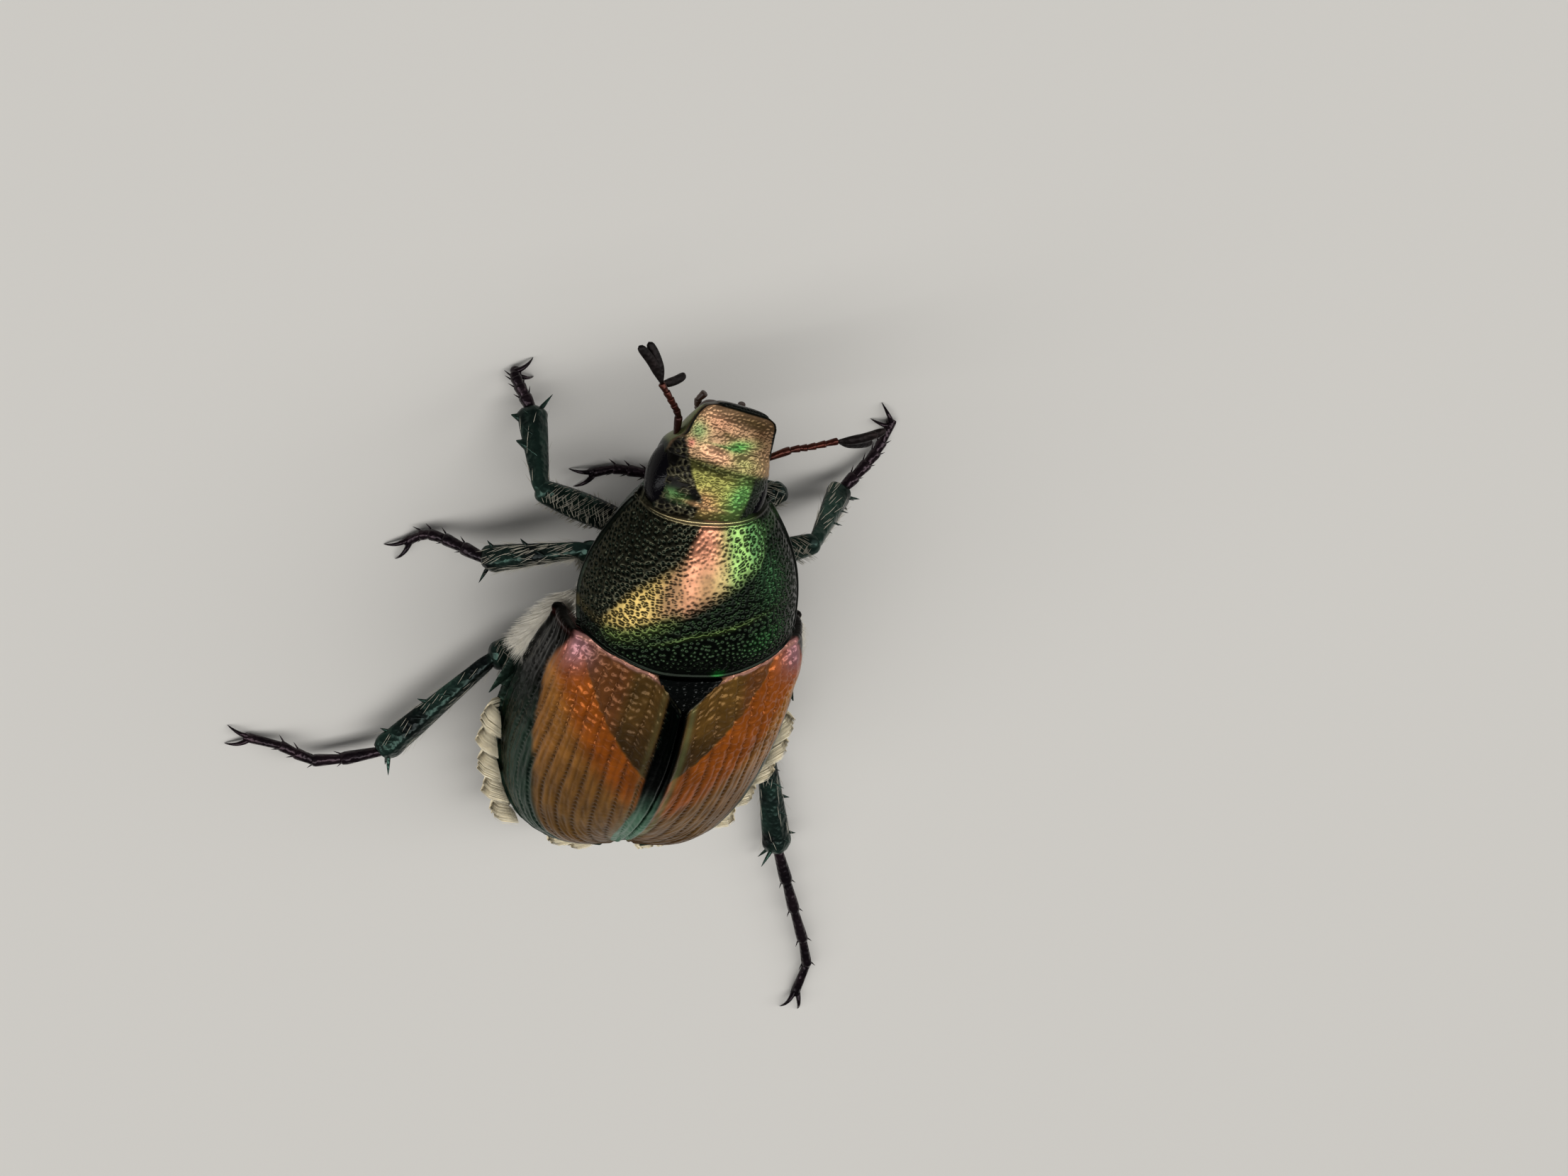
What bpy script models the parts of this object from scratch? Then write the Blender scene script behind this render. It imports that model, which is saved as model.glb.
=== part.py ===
# Japanese beetle as a still, life-size museum model, standing on the floor with both feelers spread.
# Lengths are in millimetres and the meshes are scaled to metres as they are made. The body is
# shaped in its own frame: head toward -Y, the animal's left toward +X, back toward +Z. It is then
# pitched and lifted onto its feet, and the legs are set from the floor up.

import bmesh
import bpy
import numpy as np

MM = 0.001
GAP = 0.2                       # seam kept between neighbouring pieces
PITCH = np.radians(12.0)        # head raised above the tail
BODY_AT = np.array([-1.7, -3.02, 0.0])   # moves the whole beetle so that its box is centred

# Body sizes
SHELL = 0.5                     # thickness of the wing cases
SUTURE_HALF = 0.1               # each wing case keeps this far off the midline
RIDGES = 6                      # raised ribs on a wing case
RIDGE_HEIGHT = 0.05

# Hair and spines
LOCKS_A_TUFT = 3
LOCK_LENGTH = 0.5
LOCK_WIDTH = 0.34
LOCK_DEPTH = 0.34
LOCK_DROOP = np.array([0.0, 0.06, -0.1])
TUFT_SPREAD = 0.26
TUFT_FAN = 0.3

# Legs
CLAW_LENGTH = 0.5
SPINE_RADIUS = 0.09


def spline(stations, values, at):
    """Smooth curve through values at rising stations: cubic pieces with slopes from neighbours."""
    stations = np.asarray(stations, float)
    values = np.asarray(values, float)
    at = np.clip(np.asarray(at, float), stations[0], stations[-1])
    slopes = np.gradient(values, stations, axis=0)
    i = np.clip(np.searchsorted(stations, at) - 1, 0, len(stations) - 2)
    step = stations[i + 1] - stations[i]
    t = (at - stations[i]) / step
    if values.ndim > 1:
        t = t[..., None]
        step = step[..., None]
    low = values[i] * (2 * t**3 - 3 * t**2 + 1) + slopes[i] * step * (t**3 - 2 * t**2 + t)
    high = values[i + 1] * (3 * t**2 - 2 * t**3) + slopes[i + 1] * step * (t**3 - t**2)
    return low + high


def unit(vector):
    """The vector at length one."""
    vector = np.asarray(vector, float)
    return vector / np.linalg.norm(vector)


def to_row(points):
    """Pitches body points so that the head rises and the tail sinks toward the floor."""
    points = np.asarray(points, float)
    x, y, z = points[..., 0], points[..., 1], points[..., 2]
    turned_y = y * np.cos(PITCH) + z * np.sin(PITCH)
    turned_z = z * np.cos(PITCH) - y * np.sin(PITCH)
    return np.stack([x, turned_y, turned_z], -1)


def mirrored(points, side):
    """Left-side points as they are for side 1, and on the other side of the midline for -1."""
    return np.asarray(points, float) * np.array([side, 1.0, 1.0])


def make_mesh(name, points, faces):
    """One mesh object from row-frame points in millimetres, with its faces turned outward."""
    placed = (np.asarray(points, float) + BODY_AT) * MM
    mesh = bpy.data.meshes.new(name)
    mesh.from_pydata([tuple(p) for p in placed], [], [tuple(int(i) for i in f) for f in faces])
    mesh.update()
    thing = bpy.data.objects.new(name, mesh)
    bpy.context.scene.collection.objects.link(thing)
    if signed_volume(mesh) < 0:
        mesh.flip_normals()
    return thing


def signed_volume(mesh):
    """Volume inside a closed mesh, negative where its faces point inward."""
    mesh.calc_loop_triangles()
    total = 0.0
    for triangle in mesh.loop_triangles:
        a, b, c = (mesh.vertices[i].co for i in triangle.vertices)
        total += a.dot(b.cross(c)) / 6.0
    return total


def loft(name, rings):
    """Closed body through rings of points, each end closed by a fan to the ring's middle."""
    rings = np.asarray(rings, float)
    count, around = rings.shape[:2]
    points = np.concatenate([rings.reshape(-1, 3), rings[:1].mean(1), rings[-1:].mean(1)])
    faces = []
    for i in range(count - 1):
        for j in range(around):
            k = (j + 1) % around
            a, b = i * around + j, i * around + k
            faces.append((a, b, b + around))
            faces.append((a, b + around, a + around))
    first, last = count * around, count * around + 1
    for j in range(around):
        k = (j + 1) % around
        faces.append((first, k, j))
        faces.append((last, (count - 1) * around + j, (count - 1) * around + k))
    return make_mesh(name, points, faces)


def slab(name, top, bottom):
    """Closed plate between two like grids, split into triangles alike on both faces."""
    top = np.asarray(top, float)
    rows, columns = top.shape[:2]
    points = np.concatenate([top.reshape(-1, 3), np.asarray(bottom, float).reshape(-1, 3)])
    under = rows * columns
    faces = []
    for i in range(rows - 1):
        for j in range(columns - 1):
            a = i * columns + j
            for face in ((a, a + 1, a + columns + 1), (a, a + columns + 1, a + columns)):
                faces.append(face)
                faces.append(tuple(k + under for k in reversed(face)))
    rim = [j for j in range(columns)]
    rim += [i * columns + columns - 1 for i in range(1, rows)]
    rim += [(rows - 1) * columns + j for j in range(columns - 2, -1, -1)]
    rim += [i * columns for i in range(rows - 2, 0, -1)]
    for a, b in zip(rim, rim[1:] + rim[:1]):
        faces.append((b, a, a + under))
        faces.append((b, a + under, b + under))
    return make_mesh(name, points, faces)


def swept(name, path, wide, deep, sides, up=(0.0, 0.0, 1.0)):
    """Closed tube along a path with oval sections: wide across, deep along the up direction."""
    path = np.asarray(path, float)
    along = np.gradient(path, axis=0)
    along /= np.linalg.norm(along, axis=1)[:, None]
    across = np.cross(along, np.asarray(up, float))
    across /= np.linalg.norm(across, axis=1)[:, None]
    lift = np.cross(across, along)
    angle = np.arange(sides) / sides * 2 * np.pi
    reach = np.asarray(wide, float)[:, None, None] * across[:, None] * np.cos(angle)[None, :, None]
    rise = np.asarray(deep, float)[:, None, None] * lift[:, None] * np.sin(angle)[None, :, None]
    return loft(name, path[:, None] + reach + rise)


def cone(base, tip, radius, sides=4, bend=(0.0, 0.0, 0.0)):
    """A tapered spine from base to tip, its middle moved by bend."""
    base, tip = np.asarray(base, float), np.asarray(tip, float)
    middle = (base + tip) / 2 + np.asarray(bend, float)
    axis = unit(tip - base)
    up = (0.0, 0.0, 1.0) if abs(axis[2]) < 0.9 else (0.0, 1.0, 0.0)
    radii = np.array([1.0, 0.7, 0.12]) * radius
    return swept("spine", [base, middle, tip], radii, radii, sides, up)


def flat_lock(root, direction, side, length, width, depth, droop):
    """A flat tapered lock of hair from its root along direction, bending by droop at its tip."""
    path = [np.asarray(root) + unit(direction) * length * t + np.asarray(droop) * t * t
            for t in (-0.25, 0.15, 0.6, 1.0)]
    taper = np.array([0.7, 1.0, 0.95, 0.45])
    up = np.cross(direction, side)
    return swept("lock", path, width / 2 * taper, depth / 2 * taper, 6, up)


def fuse(name, pieces):
    """Joins closed pieces into the first one and keeps the largest closed surface."""
    body = pieces[0]
    body.name = name
    group = bpy.data.collections.new("joined")
    bpy.context.scene.collection.children.link(group)
    for piece in pieces[1:]:
        bpy.context.scene.collection.objects.unlink(piece)
        group.objects.link(piece)
    union = body.modifiers.new("union", "BOOLEAN")
    union.operation = "UNION"
    union.operand_type = "COLLECTION"
    union.collection = group
    union.solver = "EXACT"
    evaluated = body.evaluated_get(bpy.context.evaluated_depsgraph_get())
    mesh = bpy.data.meshes.new_from_object(evaluated)
    body.modifiers.remove(union)
    body.data = keep_largest(mesh)
    for piece in list(group.objects):
        bpy.data.objects.remove(piece)
    bpy.data.collections.remove(group)
    return body


def keep_largest(mesh):
    """The mesh with only the connected surface that holds the most volume."""
    work = bmesh.new()
    work.from_mesh(mesh)
    bmesh.ops.remove_doubles(work, verts=work.verts, dist=1e-7)
    bmesh.ops.triangulate(work, faces=work.faces)
    left = set(work.faces)
    shells = []
    while left:
        stack = [left.pop()]
        shell = []
        while stack:
            face = stack.pop()
            shell.append(face)
            for edge in face.edges:
                for other in edge.link_faces:
                    if other in left:
                        left.remove(other)
                        stack.append(other)
        shells.append(shell)
    def volume(shell):
        corners = ([v.co for v in face.verts] for face in shell)
        return sum(a.dot(b.cross(c)) / 6.0 for a, b, c in corners)
    shells.sort(key=volume)
    for shell in shells[:-1]:
        bmesh.ops.delete(work, geom=shell, context="FACES")
    loose = [v for v in work.verts if not v.link_faces]
    bmesh.ops.delete(work, geom=loose, context="VERTS")
    work.to_mesh(mesh)
    work.free()
    return mesh


def paint(thing, colour, roughness, metallic):
    """Gives an object its own Principled material."""
    material = bpy.data.materials.new(thing.name + "_finish")
    material.use_nodes = True
    shader = material.node_tree.nodes["Principled BSDF"]
    shader.inputs["Base Color"].default_value = (*colour, 1.0)
    shader.inputs["Roughness"].default_value = roughness
    shader.inputs["Metallic"].default_value = metallic
    thing.data.materials.clear()
    thing.data.materials.append(material)


GREEN = ((0.02, 0.09, 0.045), 0.3, 0.85)
GREEN_BLACK = ((0.012, 0.03, 0.022), 0.35, 0.7)
BROWN = ((0.2, 0.055, 0.012), 0.28, 0.45)
FEELER = ((0.05, 0.014, 0.008), 0.45, 0.1)
EYE = ((0.006, 0.006, 0.007), 0.2, 0.0)
MOUTH = ((0.04, 0.025, 0.015), 0.5, 0.0)


# Pronotum: the domed shield behind the head
PRO_Y = [-3.45, -3.0, -2.4, -1.8, -1.1, -0.4, 0.15]
PRO_HALF_WIDTH = [1.5, 1.82, 2.12, 2.32, 2.42, 2.36, 2.3]
PRO_EDGE_Z = [3.42, 3.4, 3.5, 3.62, 3.8, 4.15, 4.3]
PRO_MID_Z = [4.2, 4.45, 4.82, 5.1, 5.33, 5.42, 5.36]


def pronotum_front(s):
    """Front margin: nearly straight, with the corners drawn forward; s runs 0 to 1 outward."""
    return -3.12 - 0.33 * np.abs(s)**5


def pronotum_back(s):
    """Base: straight in front of the scutellum, then slanting forward to the hind corners."""
    return spline([0.0, 0.3, 0.62, 0.85, 1.0], [0.1, 0.08, -0.1, -0.28, -0.42], np.abs(s))


def pronotum_point(s, v, inset=0.0):
    """Point of the shield at side fraction s and length fraction v, sunk inward by inset."""
    y = pronotum_front(s) + (pronotum_back(s) - pronotum_front(s)) * v
    half = spline(PRO_Y, PRO_HALF_WIDTH, y)
    edge = spline(PRO_Y, PRO_EDGE_Z, y)
    middle = spline(PRO_Y, PRO_MID_Z, y)
    dome = (1 - np.abs(s)**2.2)**0.62
    x = half * s * (1 - 0.25 * inset * s * s)
    z = edge - 0.6 * inset + (middle - edge - 0.4 * inset) * dome
    return np.stack([x, y, z], -1)


def make_pronotum():
    side = np.sin(np.linspace(-1, 1, 21) * np.pi / 2)
    s, v = np.meshgrid(side, np.linspace(0, 1, 9))
    plate = slab("pronotum", to_row(pronotum_point(s, v)), to_row(pronotum_point(s, v, SHELL)))
    paint(plate, *GREEN)


def make_prothorax():
    """The underside of the first segment, below the shield, with its sides drawn in."""
    rings = []
    for y in np.linspace(-3.1, -0.75, 7):
        half = 0.76 * spline(PRO_Y, PRO_HALF_WIDTH, y)
        edge = spline(PRO_Y, PRO_EDGE_Z, y) - 0.3 - GAP
        middle = spline(PRO_Y, PRO_MID_Z, y) - SHELL - GAP
        belly = spline([-3.1, -2.2, -0.75], [2.3, 1.8, 1.75], y)
        over = np.linspace(-1, 1, 9)
        top = [(half * np.sin(t * np.pi / 2), y, edge + (middle - edge) * np.cos(t * np.pi / 2)**0.8)
               for t in over]
        turn = np.linspace(0, np.pi, 9)[1:-1]
        low = [(half * np.sign(np.cos(t)) * abs(np.cos(t))**1.4, y, edge - (edge - belly) * np.sin(t))
               for t in turn]
        rings.append(top + low)
    body = loft("prothorax", to_row(rings))
    paint(body, *GREEN_BLACK)


# Wing cases: each row runs from the suture out to the margin, and the ribs follow the rows' ends
MARGIN_V = [0.0, 0.16, 0.33, 0.48, 0.62, 0.75, 0.87, 0.95, 1.0]
MARGIN = [(2.74, -0.02, 3.6), (3.0, 0.95, 3.15), (3.16, 2.0, 2.85), (3.22, 3.0, 2.68),
          (3.12, 4.0, 2.62), (2.72, 4.9, 2.72), (2.0, 5.6, 2.98), (1.15, 5.95, 3.2),
          (0.4, 5.98, 3.35)]
SUTURE_Y = [1.2, 2.0, 3.0, 4.0, 5.0, 5.82]
SUTURE_Z = [5.33, 5.36, 5.22, 4.9, 4.35, 3.72]


def elytron_point(u, v):
    """Left wing case at u across (0 suture, 1 margin) and v along (0 base, 1 tip)."""
    edge = spline(MARGIN_V, MARGIN, v)
    seam_y = SUTURE_Y[0] + (SUTURE_Y[-1] - SUTURE_Y[0]) * v
    seam_z = spline(SUTURE_Y, SUTURE_Z, seam_y)
    turn = u * np.pi / 2
    out = np.sin(turn)
    x = SUTURE_HALF + (edge[..., 0] - SUTURE_HALF) * out
    z = edge[..., 2] + (seam_z - edge[..., 2]) * np.abs(np.cos(turn))**0.75
    straight = seam_y + (edge[..., 1] - seam_y) * out
    base = spline([0.0, 0.1, 0.3, 0.6, 0.85, 1.0], [1.2, 0.95, 0.42, 0.2, 0.0, -0.02], out)
    blend = np.clip(1 - v / 0.45, 0, 1)**2
    y = straight + (base - (1.2 - 1.22 * out)) * blend
    ribs = RIDGE_HEIGHT * np.cos(u * RIDGES * 2 * np.pi) * np.sin(np.clip(u * 1.1, 0, 1) * np.pi)
    rounded = 0.16 * np.exp(-(v / 0.05)**2)
    return np.stack([x, y, z + ribs * (1 - v**4) - rounded], -1)


def surface_normals(grid):
    """Unit normals of a grid of points, from its rows and columns."""
    along = np.gradient(grid, axis=0)
    across = np.gradient(grid, axis=1)
    normal = np.cross(across, along)
    return normal / np.linalg.norm(normal, axis=-1)[..., None]


def make_elytra():
    u, v = np.meshgrid(np.linspace(0, 1, 2 * RIDGES + 7), np.linspace(0, 1, 13))
    outer = elytron_point(u, v)
    normal = surface_normals(outer)
    if normal[3, 2, 2] < 0:
        normal = -normal
    inner = outer - SHELL * normal
    for name, side in (("elytron_left", 1), ("elytron_right", -1)):
        case = slab(name, to_row(mirrored(outer, side)), to_row(mirrored(inner, side)))
        paint(case, *BROWN)


def make_scutellum():
    """The small rounded triangle between the bases of the wing cases."""
    rows = []
    for v in np.linspace(0, 1, 5):
        half = 0.62 * (1 - v)**0.8 + 0.06
        rows.append([(half * s, 0.32 + 0.72 * v, 5.42 - 0.05 * s * s - 0.06 * v)
                     for s in np.linspace(-1, 1, 5)])
    top = np.array(rows)
    plate = slab("scutellum", to_row(top), to_row(top - np.array([0, 0, 0.4])))
    paint(plate, *GREEN_BLACK)


# Trunk under the wing cases: the thorax carries the legs, the abdomen the white side tufts
TRUNK_Y = [-0.4, 0.4, 1.2, 2.1, 3.0, 4.2, 5.2, 5.8, 6.25]
TRUNK_WIDE = [2.2, 2.7, 2.95, 3.14, 3.26, 3.16, 2.6, 1.75, 0.8]
TRUNK_SIDE_Z = [3.1, 2.95, 2.65, 2.42, 2.3, 2.3, 2.35, 2.3, 2.1]
TRUNK_BELLY_Z = [2.15, 1.66, 1.4, 1.68, 1.6, 1.6, 1.68, 1.78, 1.85]
TRUNK_NECK = [1.85, 2.05, 2.15, 2.28, 2.35, 2.2, 1.6, 1.1, 0.6]
TRUNK_TOP_Z = [4.4, 4.5, 4.5, 4.5, 4.35, 3.95, 3.05, 2.5, 2.05]


def trunk_ring(y):
    """Section of the trunk: narrow under the wing cases, widest below their margin."""
    wide = spline(TRUNK_Y, TRUNK_WIDE, y)
    side = spline(TRUNK_Y, TRUNK_SIDE_Z, y)
    belly = spline(TRUNK_Y, TRUNK_BELLY_Z, y)
    neck = spline(TRUNK_Y, TRUNK_NECK, y)
    top = spline(TRUNK_Y, TRUNK_TOP_Z, y)
    profile = [(0.0, top), (0.5 * neck, top - 0.1 * (top - side)), (0.86 * neck, top - 0.4 * (top - side)),
               (neck, side + 0.2), (0.97 * wide, side + 0.1), (wide, side - 0.12),
               (0.8 * wide, side + 0.35 * (belly - side)), (0.45 * wide, belly + 0.06), (0.0, belly)]
    half = [(x, y, z) for x, z in profile]
    other = [(-x, y, z) for x, _, z in half[1:-1]][::-1]
    return half + other


def make_thorax():
    body = loft("thorax", to_row([trunk_ring(y) for y in np.linspace(-0.4, 1.9, 6)]))
    paint(body, *GREEN_BLACK)


def tuft(root, direction, side, seed):
    """A brush of flat locks fanned about one direction, with its roots sunk in the body."""
    draw = np.random.default_rng(seed)
    side = np.asarray(side)
    locks = []
    for i in range(LOCKS_A_TUFT):
        fan = (i - (LOCKS_A_TUFT - 1) / 2) / (LOCKS_A_TUFT - 1)
        lift = np.array([0.0, 0.0, (0.05 if i % 2 else -0.04) + draw.uniform(-0.01, 0.01)])
        place = np.asarray(root) + side * fan * TUFT_SPREAD + lift
        lean = unit(unit(direction) + side * fan * TUFT_FAN)
        roll = unit(side + np.array([0.0, 0.0, 0.25 * fan + draw.uniform(-0.08, 0.08)]))
        length, width, depth = np.array([LOCK_LENGTH, LOCK_WIDTH, LOCK_DEPTH]) * draw.uniform(0.9, 1.1, 3)
        droop = LOCK_DROOP * draw.uniform(0.6, 1.4)
        locks.append(flat_lock(place, lean, roll, length, width, depth, droop))
    return locks


TUFT_Y = [3.02, 3.6, 4.18, 4.74, 5.25]


def make_abdomen():
    pieces = [loft("abdomen", to_row([trunk_ring(y) for y in np.linspace(2.1, 6.03, 12)]))]
    for i, y in enumerate(TUFT_Y):
        wide = spline(TRUNK_Y, TRUNK_WIDE, y)
        z = spline(TRUNK_Y, TRUNK_SIDE_Z, y) - 0.02
        for side in (1, -1):
            root = to_row(mirrored((wide - 0.12, y, z), side))
            lean = to_row(mirrored((1.0, 0.35, -0.1), side))
            along = to_row((0.0, 1.0, 0.0))
            pieces += tuft(root, lean, along, 10 * i + side + 1)
    paint(fuse("abdomen", pieces), *GREEN_BLACK)


def make_pygidium():
    """The sloping end plate behind the wing cases, with its pair of white tufts."""
    s, v = np.meshgrid(np.linspace(-1, 1, 9), np.linspace(0, 1, 6))
    half = 1.75 * (1 - v)**0.7 + 0.22
    x = half * s
    y = 6.12 - 0.36 * s * s * (1 - v) + 0.55 * v + 0.2 * np.sin(np.pi * v)
    z = 3.0 - 0.1 * s * s * (1 - v) - 1.05 * v + 0.15 * np.sin(np.pi * v)
    outer = np.stack([x, y, z], -1)
    inner = outer + np.array([0.0, -0.3, -0.22])
    pieces = [slab("pygidium", to_row(outer), to_row(inner))]
    for side in (1, -1):
        root = to_row(mirrored((0.95, 6.28, 2.78), side))
        pieces += tuft(root, to_row((0.25 * side, 1.0, 0.1)), np.array([1.0, 0.0, 0.0]), 71 + side)
    paint(fuse("pygidium", pieces), *GREEN)


# Head: shaped in its own frame (left, forward, up) from the middle of its rear edge
HEAD_AT = np.array([0.1, -3.33, 4.3])
HEAD_YAW = np.radians(15.0)
HEAD_DROP = np.radians(22.0)
HEAD_B = [-0.05, 0.25, 0.7, 1.1, 1.45, 1.85, 2.17, 2.32]
HEAD_REAR_Y = -3.12 - GAP       # the back of the head lies flat before the shield
HEAD_HALF = [1.05, 1.18, 1.22, 1.05, 0.86, 0.86, 0.8, 0.68]
HEAD_TOP = [0.0, 0.14, 0.2, 0.13, 0.04, 0.02, 0.1, 0.06]
HEAD_LOW = [-1.35, -1.55, -1.6, -1.45, -1.2, -0.75, -0.4, -0.25]


def head_frame():
    """The head's left, forward and up directions in the body's frame."""
    left = np.array([np.cos(HEAD_YAW), -np.sin(HEAD_YAW), 0.0])
    level = np.array([-np.sin(HEAD_YAW), -np.cos(HEAD_YAW), 0.0])
    forward = np.cos(HEAD_DROP) * level - np.sin(HEAD_DROP) * np.array([0.0, 0.0, 1.0])
    return left, forward, np.cross(left, -forward)


def from_head(points):
    """Head-frame points in the row frame."""
    left, forward, up = head_frame()
    points = np.asarray(points, float)
    return to_row(HEAD_AT + points[..., :1] * left + points[..., 1:2] * forward + points[..., 2:] * up)


def min_forward(a, b, c):
    """Forward place of a ring point, with the rearmost rings drawn to the flat of the neck."""
    left, forward, up = head_frame()
    rear = (HEAD_REAR_Y - HEAD_AT[1] - a * left[1] - c * up[1]) / forward[1]
    t = np.clip((b - HEAD_B[0]) / (HEAD_B[4] - HEAD_B[0]), 0.0, 1.0)
    return b if t >= 1.0 else rear * (1 - t) + HEAD_B[4] * t


def head_rings(stations, sides):
    rings = []
    for b in stations:
        half, top, low = (spline(HEAD_B, values, b) for values in (HEAD_HALF, HEAD_TOP, HEAD_LOW))
        middle = top - 0.38 * (top - low)
        ring = []
        for angle in np.arange(sides) / sides * 2 * np.pi:
            c, s = np.cos(angle), np.sin(angle)
            a = half * np.sign(c) * abs(c)**0.72
            reach = top - middle if s > 0 else middle - low
            c = middle + reach * np.sign(s) * abs(s)**0.8
            ring.append((a, min_forward(a, b, c), c))
        rings.append(ring)
    return np.array(rings)


def ball(name, centre, radii, across, around, grow=0.0):
    """An oval ball in the head frame."""
    rings = []
    for tilt in np.linspace(-0.5, 0.5, across + 2)[1:-1] * np.pi:
        ring = []
        for angle in np.arange(around) / around * 2 * np.pi:
            shape = np.array([np.sin(tilt), np.cos(tilt) * np.cos(angle), np.cos(tilt) * np.sin(angle)])
            ring.append(np.asarray(centre) + (np.asarray(radii) + grow) * shape)
        rings.append(ring)
    return loft(name, from_head(rings))


EYE_AT = np.array([0.94, 0.86, -0.42])
EYE_RADII = np.array([0.52, 0.52, 0.58])


def cut_away(body, cutter):
    """Takes the cutter's volume out of the body."""
    cut = body.modifiers.new("cut", "BOOLEAN")
    cut.operation = "DIFFERENCE"
    cut.object = cutter
    cut.solver = "EXACT"
    evaluated = body.evaluated_get(bpy.context.evaluated_depsgraph_get())
    mesh = bpy.data.meshes.new_from_object(evaluated)
    body.modifiers.remove(cut)
    body.data = keep_largest(mesh)
    bpy.data.objects.remove(cutter)


def make_head():
    head = loft("head", from_head(head_rings(np.linspace(HEAD_B[0], HEAD_B[-1], 11), 20)))
    for side in (1, -1):
        centre = mirrored(EYE_AT, side)
        cut_away(head, ball("socket", centre, EYE_RADII, 7, 12, GAP / 2))
        eye = ball("eye_left" if side > 0 else "eye_right", centre, EYE_RADII, 7, 12, -GAP / 2)
        paint(eye, *EYE)
    paint(head, *GREEN)


def make_mouthparts():
    """Mandibles and lip below the head, with the two short palps."""
    lip = ball("mouthparts", (0.0, 1.85, -1.45), (0.5, 0.38, 0.22), 5, 8)
    palps = []
    for side in (1, -1):
        path = from_head(mirrored([(0.28, 1.9, -1.45), (0.58, 2.06, -1.46), (0.66, 2.25, -1.4),
                                   (0.6, 2.42, -1.28)], side))
        palps.append(swept("palp", path, [0.2, 0.22, 0.2, 0.06], [0.2, 0.22, 0.2, 0.06], 6))
    paint(fuse("mouthparts", [lip] + palps), *MOUTH)


# Feelers: points in the head's frame, from the socket in front of the eye
FEELERS = {
    "left": {"stalk": [(1.27, 1.58, -0.35), (1.3, 1.8, -0.2), (1.52, 2.06, -0.1), (1.76, 2.3, -0.1)],
             "tips": [(2.74, 3.02, 0.15), (1.12, 2.72, -0.5), (1.95, 3.15, -0.4)], "reach": 0.56},
    "right": {"stalk": [(-1.27, 1.6, -0.35), (-1.45, 1.78, -0.2), (-1.78, 1.98, -0.05),
                        (-2.1, 2.17, 0.0)],
              "tips": [(-3.2, 2.75, 0.2), (-3.22, 2.4, -0.35), (-2.95, 2.5, 0.7)], "reach": 0.34},
}


def make_feelers():
    for side, shape in FEELERS.items():
        stalk = from_head(shape["stalk"])
        path = spline([0, 1, 2, 3], stalk, np.linspace(0, 2.85, 8))
        width = np.array([0.2, 0.25, 0.22, 0.2, 0.2, 0.21, 0.23, 0.22])
        paint(swept("antenna_" + side, path, width, width, 6), *FEELER)
        root = stalk[-1] + unit(stalk[-1] - stalk[-2]) * shape["reach"]
        leaves = []
        for tip in from_head(shape["tips"]):
            steps = np.linspace(0, 1, 5)[:, None]
            leaf = root + (tip - root) * steps
            wide = np.array([0.18, 0.23, 0.25, 0.22, 0.08])
            deep = np.array([0.18, 0.2, 0.2, 0.17, 0.06])
            leaves.append(swept("leaf", leaf, wide, deep, 6))
        paint(fuse("club_" + side, leaves), *FEELER)


# Legs: hips in the body's frame, knees, ankles and feet in the row frame above the floor
LEGS = {
    "front_left": {"root": (0.3, -1.0, 1.2), "hip": (0.9, -1.0, 1.35), "knee": (3.0, -1.65, 2.1),
                   "ankle": (3.11, -2.99, 0.75), "toes": [(3.44, -3.58, 0.35), (3.3, -3.85, 0.1)]},
    "front_right": {"root": (-0.3, -1.0, 1.2), "hip": (-0.9, -1.0, 1.35),
                    "knee": (-2.39, -1.79, 1.9), "ankle": (-0.58, -1.46, 0.45),
                    "toes": [(0.19, -1.43, 0.33), (0.94, -1.49, 0.25), (1.45, -1.3, 0.1)]},
    "middle_left": {"root": (0.35, 0.45, 0.98), "hip": (1.1, 0.45, 1.02), "knee": (1.95, -0.52, 2.55),
                    "ankle": (3.82, 0.37, 1.2), "toes": [(4.85, 0.16, 0.42), (5.35, 0.48, 0.1)]},
    "middle_right": {"root": (-0.35, 0.45, 0.98), "hip": (-1.1, 0.45, 1.02),
                     "knee": (-3.23, -0.71, 2.2), "ankle": (-4.15, -1.33, 0.6),
                     "toes": [(-4.9, -2.1, 0.3), (-5.25, -2.85, 0.1)], "claw": (0.9, -0.45, 0.0)},
    "hind_left": {"root": (0.35, 2.1, 1.0), "hip": (1.2, 2.1, 1.0), "knee": (3.31, 2.71, 1.1),
                  "ankle": (5.49, 5.21, 0.8),
                  "toes": [(6.83, 5.57, 0.6), (7.63, 5.3, 0.45), (8.4, 5.26, 0.1)]},
    "hind_right": {"root": (-0.35, 2.1, 1.0), "hip": (-1.2, 2.1, 1.0), "knee": (-3.23, 4.65, 0.68),
                   "ankle": (-4.04, 7.58, 0.5),
                   "toes": [(-4.64, 9.03, 0.38), (-5.25, 10.6, 0.26), (-5.13, 11.5, 0.1)]},
}
FEMUR_STATIONS = [0.0, 0.12, 0.35, 0.6, 0.85, 1.0]
FEMUR_SHAPE = [0.24, 0.31, 0.36, 0.35, 0.29, 0.23]
TIBIA_STATIONS = [0.0, 0.15, 0.5, 0.85, 1.0]
TIBIA_SHAPE = [0.2, 0.24, 0.27, 0.31, 0.27]
KNEE_RADIUS = 0.22
JOINTS_A_FOOT = 5


def leg_up(start, end):
    """A direction across a leg segment, close to straight up."""
    along = unit(end - start)
    rough = np.array([0.0, 0.0, 1.0]) if abs(along[2]) < 0.95 else np.array([0.0, 1.0, 0.0])
    return unit(rough - along * rough.dot(along))


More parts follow.
